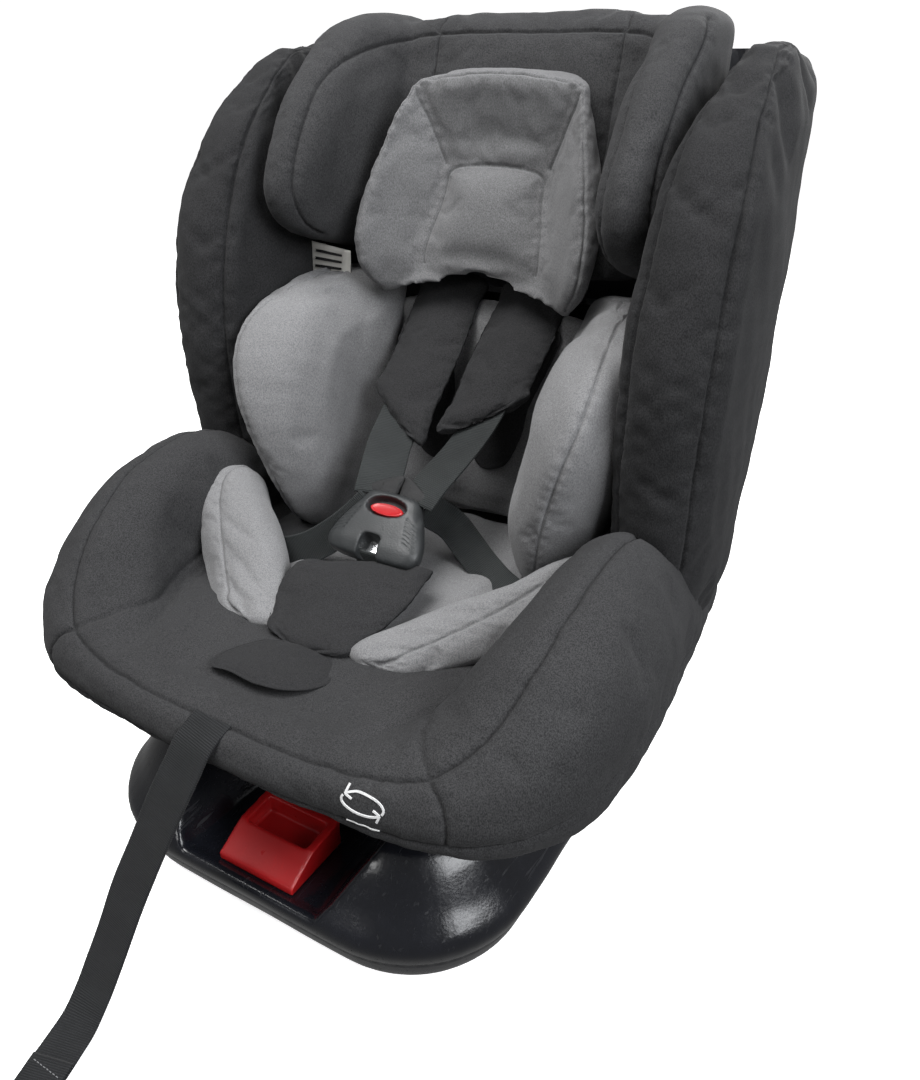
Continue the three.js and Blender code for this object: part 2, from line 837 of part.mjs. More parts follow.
const buckleUp = new THREE.Vector3(0, Math.cos(BUCKLE_TILT), Math.sin(BUCKLE_TILT));
const buckleOut = new THREE.Vector3(0, -Math.sin(BUCKLE_TILT), Math.cos(BUCKLE_TILT));

// A point in the buckle's own frame: across, along it towards the shoulders, and out of its face.
function inBuckle(across, along, out) {
  return BUCKLE_CENTRE.clone()
    .addScaledVector(alongX, across)
    .addScaledVector(buckleUp, along)
    .addScaledVector(buckleOut, out);
}

function buckleBlock(halfWidth, from, to, back, front, power) {
  const levels = [from, from + 5, (from + to) / 2, to - 5, to];
  const inset = [4, 0.5, 0, 0.5, 4];
  return loft(
    levels.map((along, i) =>
      ring(16, power, (u, v) =>
        inBuckle((halfWidth - inset[i]) * u, along, (front + back) / 2 + ((front - back) / 2 - inset[i] / 4) * v),
      ),
    ),
  );
}

function makeBuckle() {
  const body = buckleBlock(30, -26, 26, -11, 11, 5);
  const notch = buckleBlock(7, -36, -14, -20, 20, 3);
  const well = buckleBlock(15.5, 1.5, 18.5, -1, 20, 5);
  const mouth = buckleBlock(24, 20, 40, -2.2, 2.2, 9);
  return body.subtract(notch).subtract(well).subtract(mouth);
}

// A harness tongue: a flat plate that fans out from the buckle's mouth to its webbing slot.
function makeTongue(side) {
  const outline = [
    [3, 21.5],
    [19, 21.5],
    [19, 27.5],
    [42, 33],
    [34, 48],
    [8, 41],
  ];
  const shape = new THREE.Shape(outline.map(([x, y]) => new THREE.Vector2(x, y)));
  const hole = new THREE.Path(
    [
      [13, 38.5],
      [33, 43.5],
      [35.5, 37.5],
      [15.5, 33],
    ].map(([x, y]) => new THREE.Vector2(x, y)),
  );
  shape.holes.push(hole);
  const geometry = new THREE.ExtrudeGeometry(shape, { depth: 2.4, bevelEnabled: false });
  geometry.translate(0, 0, -1.2);
  geometry.applyMatrix4(
    new THREE.Matrix4().makeBasis(alongX, buckleUp, buckleOut).setPosition(BUCKLE_CENTRE),
  );
  const right = toSolid(geometry);
  return side > 0 ? right : right.mirror([1, 0, 0]);
}

function makeHarnessStrap(side) {
  const towardsHip = new THREE.Vector3(0, 0.35, 1).normalize();
  const shoulder = webbing(
    [
      [side * 31, 13, 305],
      [side * 32, -8, 299],
      [side * 34, -32, 291],
    ],
    alongX,
    WEBBING_WIDTH,
    4,
  );
  const lap = webbing(
    [
      [side * 33, -29, 292],
      [side * 50, -37, 274],
      [side * 74, -45, 252],
      [side * 93, -47, 232],
    ],
    towardsHip,
    30,
    5,
  );
  return shoulder.add(lap);
}

// Stations of a shoulder pad: x, y, z, half width.
const PAD_STATIONS = [
  [42, 92, 404, 25],
  [41, 83, 390, 29],
  [40, 68, 371, 31],
  [37, 47, 348, 31],
  [35, 30, 326, 30],
  [34, 19, 312, 26],
];

function makeShoulderPad(side) {
  return loft(
    PAD_STATIONS.map(([x, y, z, half]) =>
      ring(12, 4, (u, v) => new THREE.Vector3(side * x + half * u, y - 5 * v, z + 3.6 * v)),
    ),
  );
}

function makeCrotchPad() {
  const stations = [
    [-162, 204, 34],
    [-150, 208, 46],
    [-124, 216, 50],
    [-106, 222, 50],
    [-98, 225, 44],
  ];
  return loft(
    stations.map(([y, z, half]) => ring(12, 5, (u, v) => new THREE.Vector3(half * u, y - 1.5 * v, z + 5 * v))),
  );
}

function makeCrotchStrap() {
  return webbing(
    [
      [0, -89, 199],
      [0, -89, 218],
      [0, -91.5, 235.8],
    ],
    alongX,
    26,
    3,
  );
}

const ADJUSTER_FRONT = -216;
const ADJUSTER_TOP = 202;
const STRAP_EXIT_Z = 199.2;

// The free end of the adjuster strap: out of the adjuster, over the front roll, and down to the floor.
const STRAP_ROUTE = [
  [0, ADJUSTER_FRONT - GAP, STRAP_EXIT_Z],
  [0, -228, 200.2],
  [-1, -243, 201],
  [-3, -259, 199],
  [-6, -273, 190],
  [-10, -283, 174],
  [-16, -293, 154],
  [-23, -303, 131],
  [-30, -313, 107],
  [-37, -323, 82],
  [-43, -333, 57],
  [-48, -343, 34],
  [-51, -354, 15],
  [-50, -368, 4],
  [-46, -386, 1.4],
  [-41, -404, 1.4],
  [-36, -422, 1.4],
];

function makeFreeStrap() {
  return webbing(STRAP_ROUTE, alongX, ADJUSTER_WIDTH, 32);
}

function makeFlap() {
  const stations = [
    [-223, 205.5, 20],
    [-212, 208, 38],
    [-195, 210, 46],
    [-178, 211, 40],
    [-166, 210, 22],
  ];
  return loft(
    stations.map(([y, z, half]) => ring(12, 3, (u, v) => new THREE.Vector3(half * u, y, z + 3 * v - 2 * u * u))),
  );
}

function makeAdjuster() {
  const body = box(-24, 24, ADJUSTER_FRONT, -176, 178, ADJUSTER_TOP);
  const well = box(-12, 12, -208, -186, 190, ADJUSTER_TOP + 2);
  return body.subtract(well);
}

// ---- headrest ----

// Stations of a headrest wing: z, front, rear.
const HEAD_WING_STATIONS = [
  [404, 62, 108],
  [420, 30, 124],
  [440, 4, 130],
  [463, -7, 137],
  [490, -3, 146],
  [530, 22, 160],
  [562, 52, 171],
  [586, 88, 178],
  [594, 118, 172],
];

function makeHeadWing(side, grow) {
  return loft(
    HEAD_WING_STATIONS.map(([z, front, rear], i) => {
      const shift = i === 0 ? -grow : i === HEAD_WING_STATIONS.length - 1 ? grow : 0;
      const outer = i === 0 || i === HEAD_WING_STATIONS.length - 1 ? 150 : 157;
      const inner = i === 0 || i === HEAD_WING_STATIONS.length - 1 ? 122 : 113;
      return ring(
        14,
        3,
        (u, v) =>
          new THREE.Vector3(
            side * ((inner + outer) / 2 + ((outer - inner) / 2 + grow) * u),
            (front + rear) / 2 + ((rear - front) / 2 + grow) * v,
            z + shift,
          ),
      );
    }),
  );
}

// A leaning slab parallel to the backrest: stations of z and half width, between two depths.
function leaningSlab(stations, near, far, power) {
  return loft(
    stations.map(([z, half]) =>
      ring(
        14,
        power,
        (u, v) => new THREE.Vector3(half * u, backFace(z) + (near + far) / 2 + ((far - near) / 2) * v, z),
      ),
    ),
  );
}

function makePillow() {
  return leaningSlab(
    [
      [396, 84],
      [404, 92],
      [430, 98],
      [470, 97],
      [515, 88],
      [545, 76],
      [555, 68],
    ],
    -68,
    -31,
    4,
  );
}

const ROD_X = 60;
const ROD_DEPTH = 31;
const ROD_RADIUS = 4;

// A cylinder that leans with the backrest.
function leaningCylinder(x, depth, z0, z1, radius, segments) {
  return loft(
    [z0, z1].map((z) =>
      ring(segments, 2, (u, v) => new THREE.Vector3(x + radius * u, backFace(z) + depth + radius * 1.05 * v, z)),
    ),
  );
}

function makeRodGuide() {
  const bar = leaningSlab([[372, 78], [386, 78]], 22, 42, 20);
  return sides.reduce(
    (solid, [, side]) =>
      solid.subtract(leaningCylinder(side * ROD_X, ROD_DEPTH, 365, 392, ROD_RADIUS + 0.5, 12)),
    bar,
  );
}

// ---- assembly ----

function clearOf(solid, ...others) {
  return largest(others.reduce((left, other) => left.subtract(other), solid));
}

function addSeat() {
  const panGrown = makePan(GAP);
  const backGrown = makeBackShell(GAP);
  add("seat_shell", makePan(0), BLACK, PLASTIC);
  add("back_shell", makeBackShell(0), BLACK, PLASTIC);
  add("rear_cover", makeRearCover(), BLACK, PLASTIC);
  add("recline_lever", makeReclineLever(), BLACK, PLASTIC);

  const wingSolids = {};
  for (const [name, side] of sides) {
    const wing = clearOf(makeWing(side, 0), backGrown, panGrown);
    wingSolids[side] = makeWing(side, GAP);
    add("side_wing_" + name, wing, DARK_FABRIC, FABRIC);
  }
  const wingsGrown = wingSolids[-1].add(wingSolids[1]);
  const bolstersGrown = makeBolster(-1, GAP).add(makeBolster(1, GAP));
  const underDeck = arcPrism(DECK_RADIUS - SHELL_WALL, DECK_STEP, 240, SEAT_HALF_WIDTH - 3, 60);
  for (const [name, side] of sides) {
    const bolster = clearOf(makeBolster(side, 0), wingsGrown, panGrown, backGrown, underDeck);
    add("seat_bolster_" + name, bolster, SEAT_FABRIC, FABRIC);
  }
  const roll = clearOf(makeFrontRoll(0), bolstersGrown, panGrown);
  add("front_roll", roll, SEAT_FABRIC, FABRIC);

  const adjusterGrown = box(-25, 25, ADJUSTER_FRONT - 1, -175, 170, 230);
  const cushion = clearOf(
    makeSeatCushion(0),
    bolstersGrown,
    makeFrontRoll(GAP),
    panGrown,
    adjusterGrown,
    wingsGrown,
  );
  add("seat_cushion", cushion, SEAT_FABRIC, FABRIC);
  const cushionGrown = makeSeatCushion(GAP);
  const backCushion = clearOf(makeBackCushion(0), wingsGrown, cushionGrown, backGrown);
  add("backrest_cushion", backCushion, SEAT_FABRIC, FABRIC);
  const backCushionGrown = makeBackCushion(GAP);
  const headGrown = makeHeadWing(-1, GAP + 0.6).add(makeHeadWing(1, GAP + 0.6));

  const torsoGrown = makeTorsoInsert(-1, GAP).add(makeTorsoInsert(1, GAP));
  const obstacles = [wingsGrown, cushionGrown, backCushionGrown, bolstersGrown, backGrown];
  for (const [name, side] of sides) {
    const torso = clearOf(makeTorsoInsert(side, 0), ...obstacles, headGrown);
    add("torso_insert_" + name, torso, GREY_FABRIC, FABRIC);
    const thigh = clearOf(makeThighInsert(side, 0), ...obstacles, torsoGrown);
    add("thigh_insert_" + name, thigh, GREY_FABRIC, FABRIC);
  }
}

function makeReclineLever() {
  const plate = box(-32, 32, -226, -196, 144, 149);
  const lip = box(-32, 32, -226, -221, 139, 149);
  return plate.add(lip).add(pinAlongX(5.5, -36, 36, -196, 149.5, 14));
}

function makeRearCover() {
  const stations = [
    [262, 92],
    [290, 104],
    [420, 112],
    [500, 104],
  ];
  const rearFace = (z) => stationAt(BACK_STATIONS, z)[3] + GAP + 0.4;
  return loft(
    stations.map(([z, half]) =>
      ring(16, 7, (u, v) => new THREE.Vector3(half * u, rearFace(z) + 4 + 4 * v, z)),
    ),
  );
}

function addHarness() {
  const buckle = makeBuckle();
  add("buckle_housing", buckle, BLACK, PLASTIC);
  add("buckle_button", buckleBlock(14.8, 2.2, 17.8, 4, 10.4, 5), RED, PLASTIC);
  const tongues = {};
  for (const [name, side] of sides) {
    tongues[side] = makeTongue(side);
    add("harness_tongue_" + name, tongues[side], METAL, STEEL);
  }
  const thighGrown = makeThighInsert(-1, GAP).add(makeThighInsert(1, GAP));
  const torsoGrown = makeTorsoInsert(-1, GAP).add(makeTorsoInsert(1, GAP));
  for (const [name, side] of sides) {
    const tongueGrown = tongues[side].translate([0, 0, GAP]).add(tongues[side].translate([0, 0, -GAP]));
    const strap = clearOf(makeHarnessStrap(side), thighGrown, torsoGrown, tongueGrown);
    add("harness_strap_" + name, strap, WEBBING_BLACK, FABRIC);
    add("shoulder_pad_" + name, makeShoulderPad(side), PAD_FABRIC, FABRIC);
  }
  add("crotch_pad", clearOf(makeCrotchPad(), thighGrown), PAD_FABRIC, FABRIC);
  add("crotch_strap", makeCrotchStrap(), WEBBING_BLACK, FABRIC);
  add("adjuster_housing", makeAdjuster(), BLACK, PLASTIC);
  add("adjuster_button", box(-11, 11, -207, -187, 196, ADJUSTER_TOP - GAP), METAL, STEEL);
  add("adjuster_flap", makeFlap(), PAD_FABRIC, FABRIC);
  add("adjuster_strap", makeFreeStrap(), WEBBING_BLACK, FABRIC);
  add("harness_yoke", leaningSlab([[262, 30], [300, 38]], 30, 33, 10), METAL, STEEL);
}

function addHeadrest() {
  const slab = [
    [414, 96],
    [424, 110],
    [575, 110],
    [592, 100],
  ];
  add("headrest_cushion", leaningSlab(slab, -28, 6, 4), DARK_FABRIC, FABRIC);
  add("headrest_board", leaningSlab([[424, 100], [570, 108]], 7, 26, 12), BLACK, PLASTIC);
  add("head_pillow", makePillow(), GREY_FABRIC, FABRIC);
  for (const [name, side] of sides) {
    add("headrest_wing_" + name, makeHeadWing(side, 0), DARK_FABRIC, FABRIC);
    const rod = leaningCylinder(side * ROD_X, ROD_DEPTH, 224, 566, ROD_RADIUS, 10);
    add("headrest_rod_" + name, rod, METAL, STEEL);
  }
  add("rod_guide", makeRodGuide(), BLACK, PLASTIC);
  add("headrest_lever", leaningSlab([[560, 26], [586, 30]], 27, 35, 8), RED, PLASTIC);
}

addBase();
addTurntable();
addSeat();
addHarness();
addHeadrest();

export default seatGroup;
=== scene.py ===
import math

import bmesh
import bpy
import numpy as np
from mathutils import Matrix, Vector
from mathutils.bvhtree import BVHTree
from mathutils.kdtree import KDTree


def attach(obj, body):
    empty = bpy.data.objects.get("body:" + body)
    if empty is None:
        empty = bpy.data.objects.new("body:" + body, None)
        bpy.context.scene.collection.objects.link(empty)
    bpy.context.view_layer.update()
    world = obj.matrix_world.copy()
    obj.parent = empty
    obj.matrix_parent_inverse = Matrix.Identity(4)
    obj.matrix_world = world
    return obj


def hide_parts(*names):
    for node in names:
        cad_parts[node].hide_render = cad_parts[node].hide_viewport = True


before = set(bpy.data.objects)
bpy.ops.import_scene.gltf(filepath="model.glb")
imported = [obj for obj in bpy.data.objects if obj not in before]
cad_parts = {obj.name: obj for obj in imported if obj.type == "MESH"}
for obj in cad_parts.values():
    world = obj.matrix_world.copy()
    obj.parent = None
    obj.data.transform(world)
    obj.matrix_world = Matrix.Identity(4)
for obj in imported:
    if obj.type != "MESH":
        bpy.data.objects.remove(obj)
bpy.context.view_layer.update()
MM = 0.001
scene = bpy.context.scene
X, Y, Z = np.eye(3)
FLIP = np.array([-1.0, 1.0, 1.0])  # mirrors a point from the seat's right to its left
TINY = 1e-9

# ---------------------------------------------------------------- curves and grids


def hermite(points, params):
    """A smooth line through points at index parameters, its slopes taken from the chord lengths."""
    pts = np.asarray(points, float)
    step = np.maximum(np.linalg.norm(np.diff(pts, axis=0), axis=-1), TINY)
    while step.ndim > 1:
        step = step.mean(axis=-1)
    knots = np.r_[0.0, np.cumsum(step)]
    slope = np.gradient(pts, knots, axis=0)
    k = np.clip(np.floor(params).astype(int), 0, len(pts) - 2)
    t = (np.asarray(params) - k).reshape((-1,) + (1,) * (pts.ndim - 1))
    h = step[k].reshape(t.shape)
    return (
        (2 * t**3 - 3 * t**2 + 1) * pts[k]
        + (t**3 - 2 * t**2 + t) * h * slope[k]
        + (3 * t**2 - 2 * t**3) * pts[k + 1]
        + (t**3 - t**2) * h * slope[k + 1]
    )


def lengths(points):
    """How far along a line each of its points is."""
    return np.r_[0, np.cumsum(np.linalg.norm(np.diff(points, axis=0), axis=1))]


def spaced(points, count):
    """`count` points at equal distances along a finely divided line."""
    length = lengths(points)
    at = np.linspace(0, length[-1], count)
    return np.stack([np.interp(at, length, points[:, k]) for k in range(points.shape[1])], axis=1)


def smooth_line(points, spacing):
    """Points about `spacing` apart on a smooth line through points."""
    fine = hermite(points, np.linspace(0, len(points) - 1, 60 * (len(points) - 1) + 1))
    return spaced(fine, max(2, int(round(lengths(fine)[-1] / spacing)) + 1))


def densify(knots, count):
    """A smooth line through knots, with `count` steps from each to the next."""
    knots = np.asarray(knots, float)
    at = np.linspace(0, len(knots) - 1, count * (len(knots) - 1) + 1)
    if len(knots) > 2:
        return hermite(knots, at)
    return np.stack([np.interp(at, [0, 1], knots[:, k]) for k in (0, 1)], axis=1)


def closed_ring(points, params):
    """Hermite on a closed ring of control points; params run from 0 to len(points)."""
    pts = np.asarray(points, float)
    wrapped = np.concatenate([pts[-3:], pts, pts[:4]])
    return hermite(wrapped, np.asarray(params) + 3)


def round_power(value, power):
    """A sine or cosine drawn out or in, so that a circle becomes a rounded square."""
    return math.copysign(abs(value) ** power, value)


def squircle(count, power_across, power_up, offset=0.0):
    """Points on a rounded square of half width 1."""
    for k in range(count):
        angle = 2 * math.pi * (k + offset) / count
        yield round_power(math.cos(angle), power_across), round_power(math.sin(angle), power_up)


def index_gap(a, b):
    """The typical distance between two rows or columns of control points."""
    return float(np.percentile(np.linalg.norm(np.asarray(b) - np.asarray(a), axis=-1), 75))


def even_params(lines, spacing):
    """Index parameters that step about `spacing` from each control line to the next, without the last."""
    counts = [max(1, math.ceil(index_gap(a, b) / spacing)) for a, b in zip(lines, lines[1:])]
    return np.concatenate([i + np.arange(n) / n for i, n in enumerate(counts)])


class Grid:
    """A smooth surface through closed control rings: rows and columns of points in mm."""

    def __init__(self, control, spacing):
        control = np.asarray(control, float)
        wrapped = np.concatenate([control, control[:, :1]], axis=1)
        self.cols = even_params(wrapped.transpose(1, 0, 2), spacing)
        self.rows = np.r_[even_params(control, spacing), len(control) - 1.0]
        self.points = hermite(np.stack([closed_ring(r, self.cols) for r in control]), self.rows)

    @property
    def span(self):
        """The column parameter at which the columns close."""
        return round(self.cols[-1] + self.cols[1])

    def finer(self, factor):
        """The same surface with `factor` times the rows and columns."""
        new = object.__new__(Grid)
        n_rows, n_cols = self.points.shape[:2]
        row_at = np.linspace(0, n_rows - 1, factor * (n_rows - 1) + 1)
        col_at = np.arange(factor * n_cols) / factor
        across = hermite(self.points, row_at).transpose(1, 0, 2)
        new.points = closed_ring(across, col_at).transpose(1, 0, 2)
        new.rows = np.interp(row_at, np.arange(n_rows), self.rows)
        new.cols = np.interp(col_at, np.arange(n_cols + 1), np.r_[self.cols, self.span])
        return new

    def place(self, row, col):
        """Where control parameters (row, col) lie, counted in rows and columns of points."""
        i = np.interp(row, self.rows, np.arange(len(self.rows)))
        j = np.interp(col % self.span, np.r_[self.cols, self.span], np.arange(len(self.cols) + 1))
        return i, j

    def at(self, row, col):
        """The point at control parameters (row, col)."""
        i, j = self.place(row, col)
        i0, j0 = int(min(i, len(self.rows) - 2)), int(j)
        fi, fj = i - i0, j - j0
        j0, j1 = j0 % len(self.cols), (j0 + 1) % len(self.cols)
        p = self.points
        low = (1 - fj) * p[i0, j0] + fj * p[i0, j1]
        high = (1 - fj) * p[i0 + 1, j0] + fj * p[i0 + 1, j1]
        return (1 - fi) * low + fi * high

    def path(self, knots, spacing=1.0):
        """A seam line through (row, col) knots, on the surface."""
        pts = np.array([self.at(r, c) for r, c in densify(knots, 40)])
        return spaced(pts, max(2, int(lengths(pts)[-1] / spacing)))


# how large each ring of a rounded end is, and its share of the end's lift
DOME = ((0.86, 0.45), (0.58, 0.82), (0.26, 0.98), (0.0, 1.0))


def ends_rounded(control, lift):
    """Control rings with a dome put on each end: each shrinks to a pole along lift[0] and lift[1]."""
    control = [np.asarray(r, float) for r in control]

    def dome(ring, shift):
        centre = ring.mean(axis=0)
        return [centre + (ring - centre) * scale + np.asarray(shift, float) * rise for scale, rise in DOME]

    return dome(control[0], lift[0])[::-1] + control + dome(control[-1], lift[1])


def faces_between(index):
    """Faces between closed rows of vertex numbers; next to a pole they are triangles."""
    faces = []
    for low, high in zip(index, index[1:]):
        for j in range(len(low)):
            k = (j + 1) % len(low)
            quad = [low[j], low[k], high[k], high[j]]
            quad = [v for n, v in enumerate(quad) if v != quad[n - 1]]
            if len(quad) > 2:
                faces.append(quad)
    return faces


def tube_faces(rows, cols, base=0):
    """Faces of a closed tube of equal rings, numbered from base, with one face over each end."""
    rings = [[base + i * cols + j for j in range(cols)] for i in range(rows)]
    return faces_between(rings) + [rings[0][::-1], rings[-1]]


def mesh_from_grid(name, grid):
    """A mesh in metres from a grid, its end rows one vertex each, and its vertex numbers."""
    pts = grid.points * MM
    rows, cols = pts.shape[:2]
    verts, index = [], np.zeros((rows, cols), int)
    for i in range(rows):
        if i in (0, rows - 1):
            index[i, :] = len(verts)
            verts.append(pts[i].mean(axis=0))
        else:
            index[i, :] = len(verts) + np.arange(cols)
            verts.extend(pts[i])
    return new_mesh(name, verts, faces_between(index)), index


def new_mesh(name, verts, faces, smooth=True):
    mesh = bpy.data.meshes.new(name)
    mesh.from_pydata([tuple(v) for v in verts], [], [tuple(int(v) for v in f) for f in faces])
    bm = bmesh.new()
    bm.from_mesh(mesh)
    bmesh.ops.recalc_face_normals(bm, faces=bm.faces)
    bm.to_mesh(mesh)
    bm.free()
    mesh.update()
    if smooth:
        mesh.shade_smooth()
    obj = bpy.data.objects.new(name, mesh)
    scene.collection.objects.link(obj)
    return obj


def coords(obj):
    co = np.zeros(len(obj.data.vertices) * 3)
    obj.data.vertices.foreach_get("co", co)
    return co.reshape(-1, 3)


def set_coords(obj, co):
    obj.data.vertices.foreach_set("co", np.asarray(co, np.float64).ravel())
    obj.data.update()


def normals(obj):
    no = np.zeros(len(obj.data.vertices) * 3)
    obj.data.vertex_normals.foreach_get("vector", no)
    return no.reshape(-1, 3)


def swell(obj, amount):
    """Moves a surface out along its normals, by one amount in mm or by one for each vertex."""
    set_coords(obj, coords(obj) + normals(obj) * np.reshape(amount, (-1, 1)) * MM)


def apply_modifiers(obj):
    bpy.context.view_layer.update()
    depsgraph = bpy.context.evaluated_depsgraph_get()
    mesh = bpy.data.meshes.new_from_object(obj.evaluated_get(depsgraph))
    obj.modifiers.clear()
    old = obj.data
    obj.data = mesh
    mesh.name = old.name
    bpy.data.meshes.remove(old)
    mesh.shade_smooth()


def subdivide(obj):
    sub = obj.modifiers.new("sub", "SUBSURF")
    sub.levels = sub.render_levels = 1
    apply_modifiers(obj)


# ---------------------------------------------------------------- fabric work


CLOTH = {
    "quality": 6, "mass": 0.3, "tension_stiffness": 18, "compression_stiffness": 12, "shear_stiffness": 6,
    "bending_stiffness": 1.2, "air_damping": 2, "use_pressure": True,
}
CLOTH_FRAMES = 20


def puff(obj, pinned, cap, pressure, slack):
    """Cloth under inner pressure: the fabric swells between pinned points, at most `cap` mm."""
    start = coords(obj)
    cloth = obj.modifiers.new("cloth", "CLOTH")
    settings = cloth.settings
    for key, value in CLOTH.items():
        setattr(settings, key, value)
    settings.uniform_pressure_force = pressure
    settings.effector_weights.gravity = 0
    settings.shrink_min = -slack
    if len(pinned):
        obj.vertex_groups.new(name="pins").add([int(v) for v in pinned], 1.0, "REPLACE")
        settings.vertex_group_mass = "pins"
        settings.pin_stiffness = 1
    cloth.collision_settings.use_collision = False
    for f in range(1, CLOTH_FRAMES + 1):
        scene.frame_set(f)
    bpy.context.view_layer.update()
    swollen = obj.evaluated_get(bpy.context.evaluated_depsgraph_get())
    co = np.zeros(len(start) * 3)
    swollen.data.vertices.foreach_get("co", co)
    moved = co.reshape(-1, 3) - start
    obj.modifiers.clear()
    obj.vertex_groups.clear()
    scene.frame_set(1)
    far = np.linalg.norm(moved, axis=1)
    scale = np.where(far > cap * MM, cap * MM / np.maximum(far, TINY), 1.0)
    set_coords(obj, start + moved * scale[:, None])


LINE_APART = 1000.0


def line_tree(lines):
    """A search tree over the points of lines in mm, with how far along its line each point is."""
    pts = np.concatenate(lines)
    along = np.concatenate([LINE_APART * i + lengths(line) for i, line in enumerate(lines)])
    tree = KDTree(len(pts))
    for i, p in enumerate(pts):
        tree.insert(p, i)
    tree.balance()
    return tree, along


def close_to(obj, lines, reach):
    """The numbers of a mesh's vertices within reach mm of lines."""
    tree, _ = line_tree(lines)
    return [i for i, p in enumerate(coords(obj) / MM) if tree.find(p)[2] < reach]


def engrave(obj, lines, depth, width):
    """Presses lines into a hard surface as fine grooves."""
    tree, _ = line_tree(lines)
    swell(obj, [-depth * math.exp(-((tree.find(p / MM)[2] / width) ** 2)) for p in coords(obj)])


def refine_near(obj, lines, reach):
    """Splits the faces within reach mm of lines once."""
    tree, _ = line_tree(lines)
    bm = bmesh.new()
    bm.from_mesh(obj.data)
    near = set()
    for v in bm.verts:
        if tree.find(v.co / MM)[2] < reach:
            near.add(v.index)
    edges = [e for e in bm.edges if e.verts[0].index in near and e.verts[1].index in near]
    bmesh.ops.subdivide_edges(bm, edges=edges, cuts=1, use_grid_fill=True, smooth=0.0)
    bm.to_mesh(obj.data)
    bm.free()
    obj.data.update()
    obj.data.shade_smooth()


SEAM_REACH = 26.0


def pucker_wave(s):
    """The uneven gathering along a seam, at s mm along it."""
    slow = 0.6 * math.sin(s * 0.37 + 1.7 * math.sin(s * 0.05))
    return math.sin(s * 0.62 + 2.1 * math.sin(s * 0.083)) + slow


def sew(obj, lines, depth=2.1, width=1.4, pucker=0.22, shoulder=0.5, reach=(9, 4.5)):
    """Presses seam lines into the surface, with soft shoulders and small puckers beside them."""
    if not lines:
        return
    for r in reach:
        refine_near(obj, lines, r)
    tree, along = line_tree(lines)
    move = []
    for p in coords(obj):
        _, k, r = tree.find(p / MM)
        if r > SEAM_REACH:
            move.append(0.0)
            continue
        move.append(
            -depth * math.exp(-((r / width) ** 2))
            - 0.35 * depth * math.exp(-((r / (4.2 * width)) ** 2))
            + shoulder * math.exp(-(((r - 8.5) / 6.0) ** 2))
            + pucker * pucker_wave(along[k]) * math.exp(-((r / 7.0) ** 2)) * min(1.0, r / 2.0)
        )
    swell(obj, move)


def sine_noise(points, scale, seed):
    """Smooth noise of about -1 to 1 from a few seeded waves, at points in mm."""
    r = np.random.default_rng(seed)
    total = np.zeros(len(points))
    for _ in range(7):
        k = r.normal(size=3)
        k *= (2 * math.pi / scale) * r.uniform(0.6, 1.4) / np.linalg.norm(k)
        total += np.sin(points @ k + r.uniform(0, 6.28))
    return total / 2.6


def crumple(obj, broad, fine, seed):
    """Uneven padding: a broad swell and small dents over the whole piece, in mm."""
    p = coords(obj) / MM
    swell(obj, broad * sine_noise(p, 75, seed) + fine * sine_noise(p, 23, seed + 50))


def soft_piece(name, control, spacing, seams, body, material, replaces=(), cap=6,
               seed=1, depth=1.8, broad=0.8, fine=0.22, deflate=1.5):
    """A padded piece from control rings: its fabric swells between its seams, which are sewn in after."""
    grid = Grid(control, spacing)
    obj, index = mesh_from_grid(name, grid)
    swell(obj, -deflate)
    pins = {int(index[0, 0]), int(index[-1, 0])}
    for knots in seams:
        for i, j in (grid.place(r, c) for r, c in densify(knots, 120)):
            pins.add(int(index[int(round(i)), int(round(j)) % len(grid.cols)]))
    puff(obj, sorted(pins), cap, 4.0, 0.01)
    grid.points = (coords(obj) / MM)[index]
    bpy.data.objects.remove(obj)
    grid = grid.finer(2)
    obj, index = mesh_from_grid(name, grid)
    crumple(obj, broad, fine, seed)
    grid.points = (coords(obj) / MM)[index]
    sew(obj, [grid.path(k) for k in seams], depth=depth)
    return finish_piece(obj, body, material, replaces)


def finish_piece(obj, body, material, replaces=()):
    obj.data.materials.clear()
    obj.data.materials.append(material)
    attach(obj, body)
    if replaces:
        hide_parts(*replaces)
    return obj


# ---------------------------------------------------------------- materials


def node(tree, kind, **values):
    n = tree.nodes.new(kind)
    for key, value in values.items():
        if key in n.inputs:
            n.inputs[key].default_value = value
        else:
            setattr(n, key, value)
    return n


def new_material(name):
    mat = bpy.data.materials.new(name)
    mat.use_nodes = True
    tree = mat.node_tree
    bsdf = tree.nodes["Principled BSDF"]
    place = node(tree, "ShaderNodeTexCoord").outputs["Object"]
    return mat, tree, bsdf, place


def scaled(tree, place, scale):
    m = node(tree, "ShaderNodeMapping")
    m.inputs["Scale"].default_value = scale
    tree.links.new(place, m.inputs["Vector"])
    return m.outputs["Vector"]


def noise_at(tree, place, scale, detail=2.0, rough=0.5, distortion=0.0):
    n = node(tree, "ShaderNodeTexNoise", Scale=scale, Detail=detail, Roughness=rough,
             Distortion=distortion)
    tree.links.new(place, n.inputs["Vector"])
    return n.outputs["Fac"]


def ramp(tree, fac, low, high, from_low=0.3, from_high=0.7):
    n = node(tree, "ShaderNodeMapRange", clamp=True)
    n.inputs["From Min"].default_value = from_low
    n.inputs["From Max"].default_value = from_high
    n.inputs["To Min"].default_value = low
    n.inputs["To Max"].default_value = high
    tree.links.new(fac, n.inputs["Value"])
    return n.outputs["Result"]


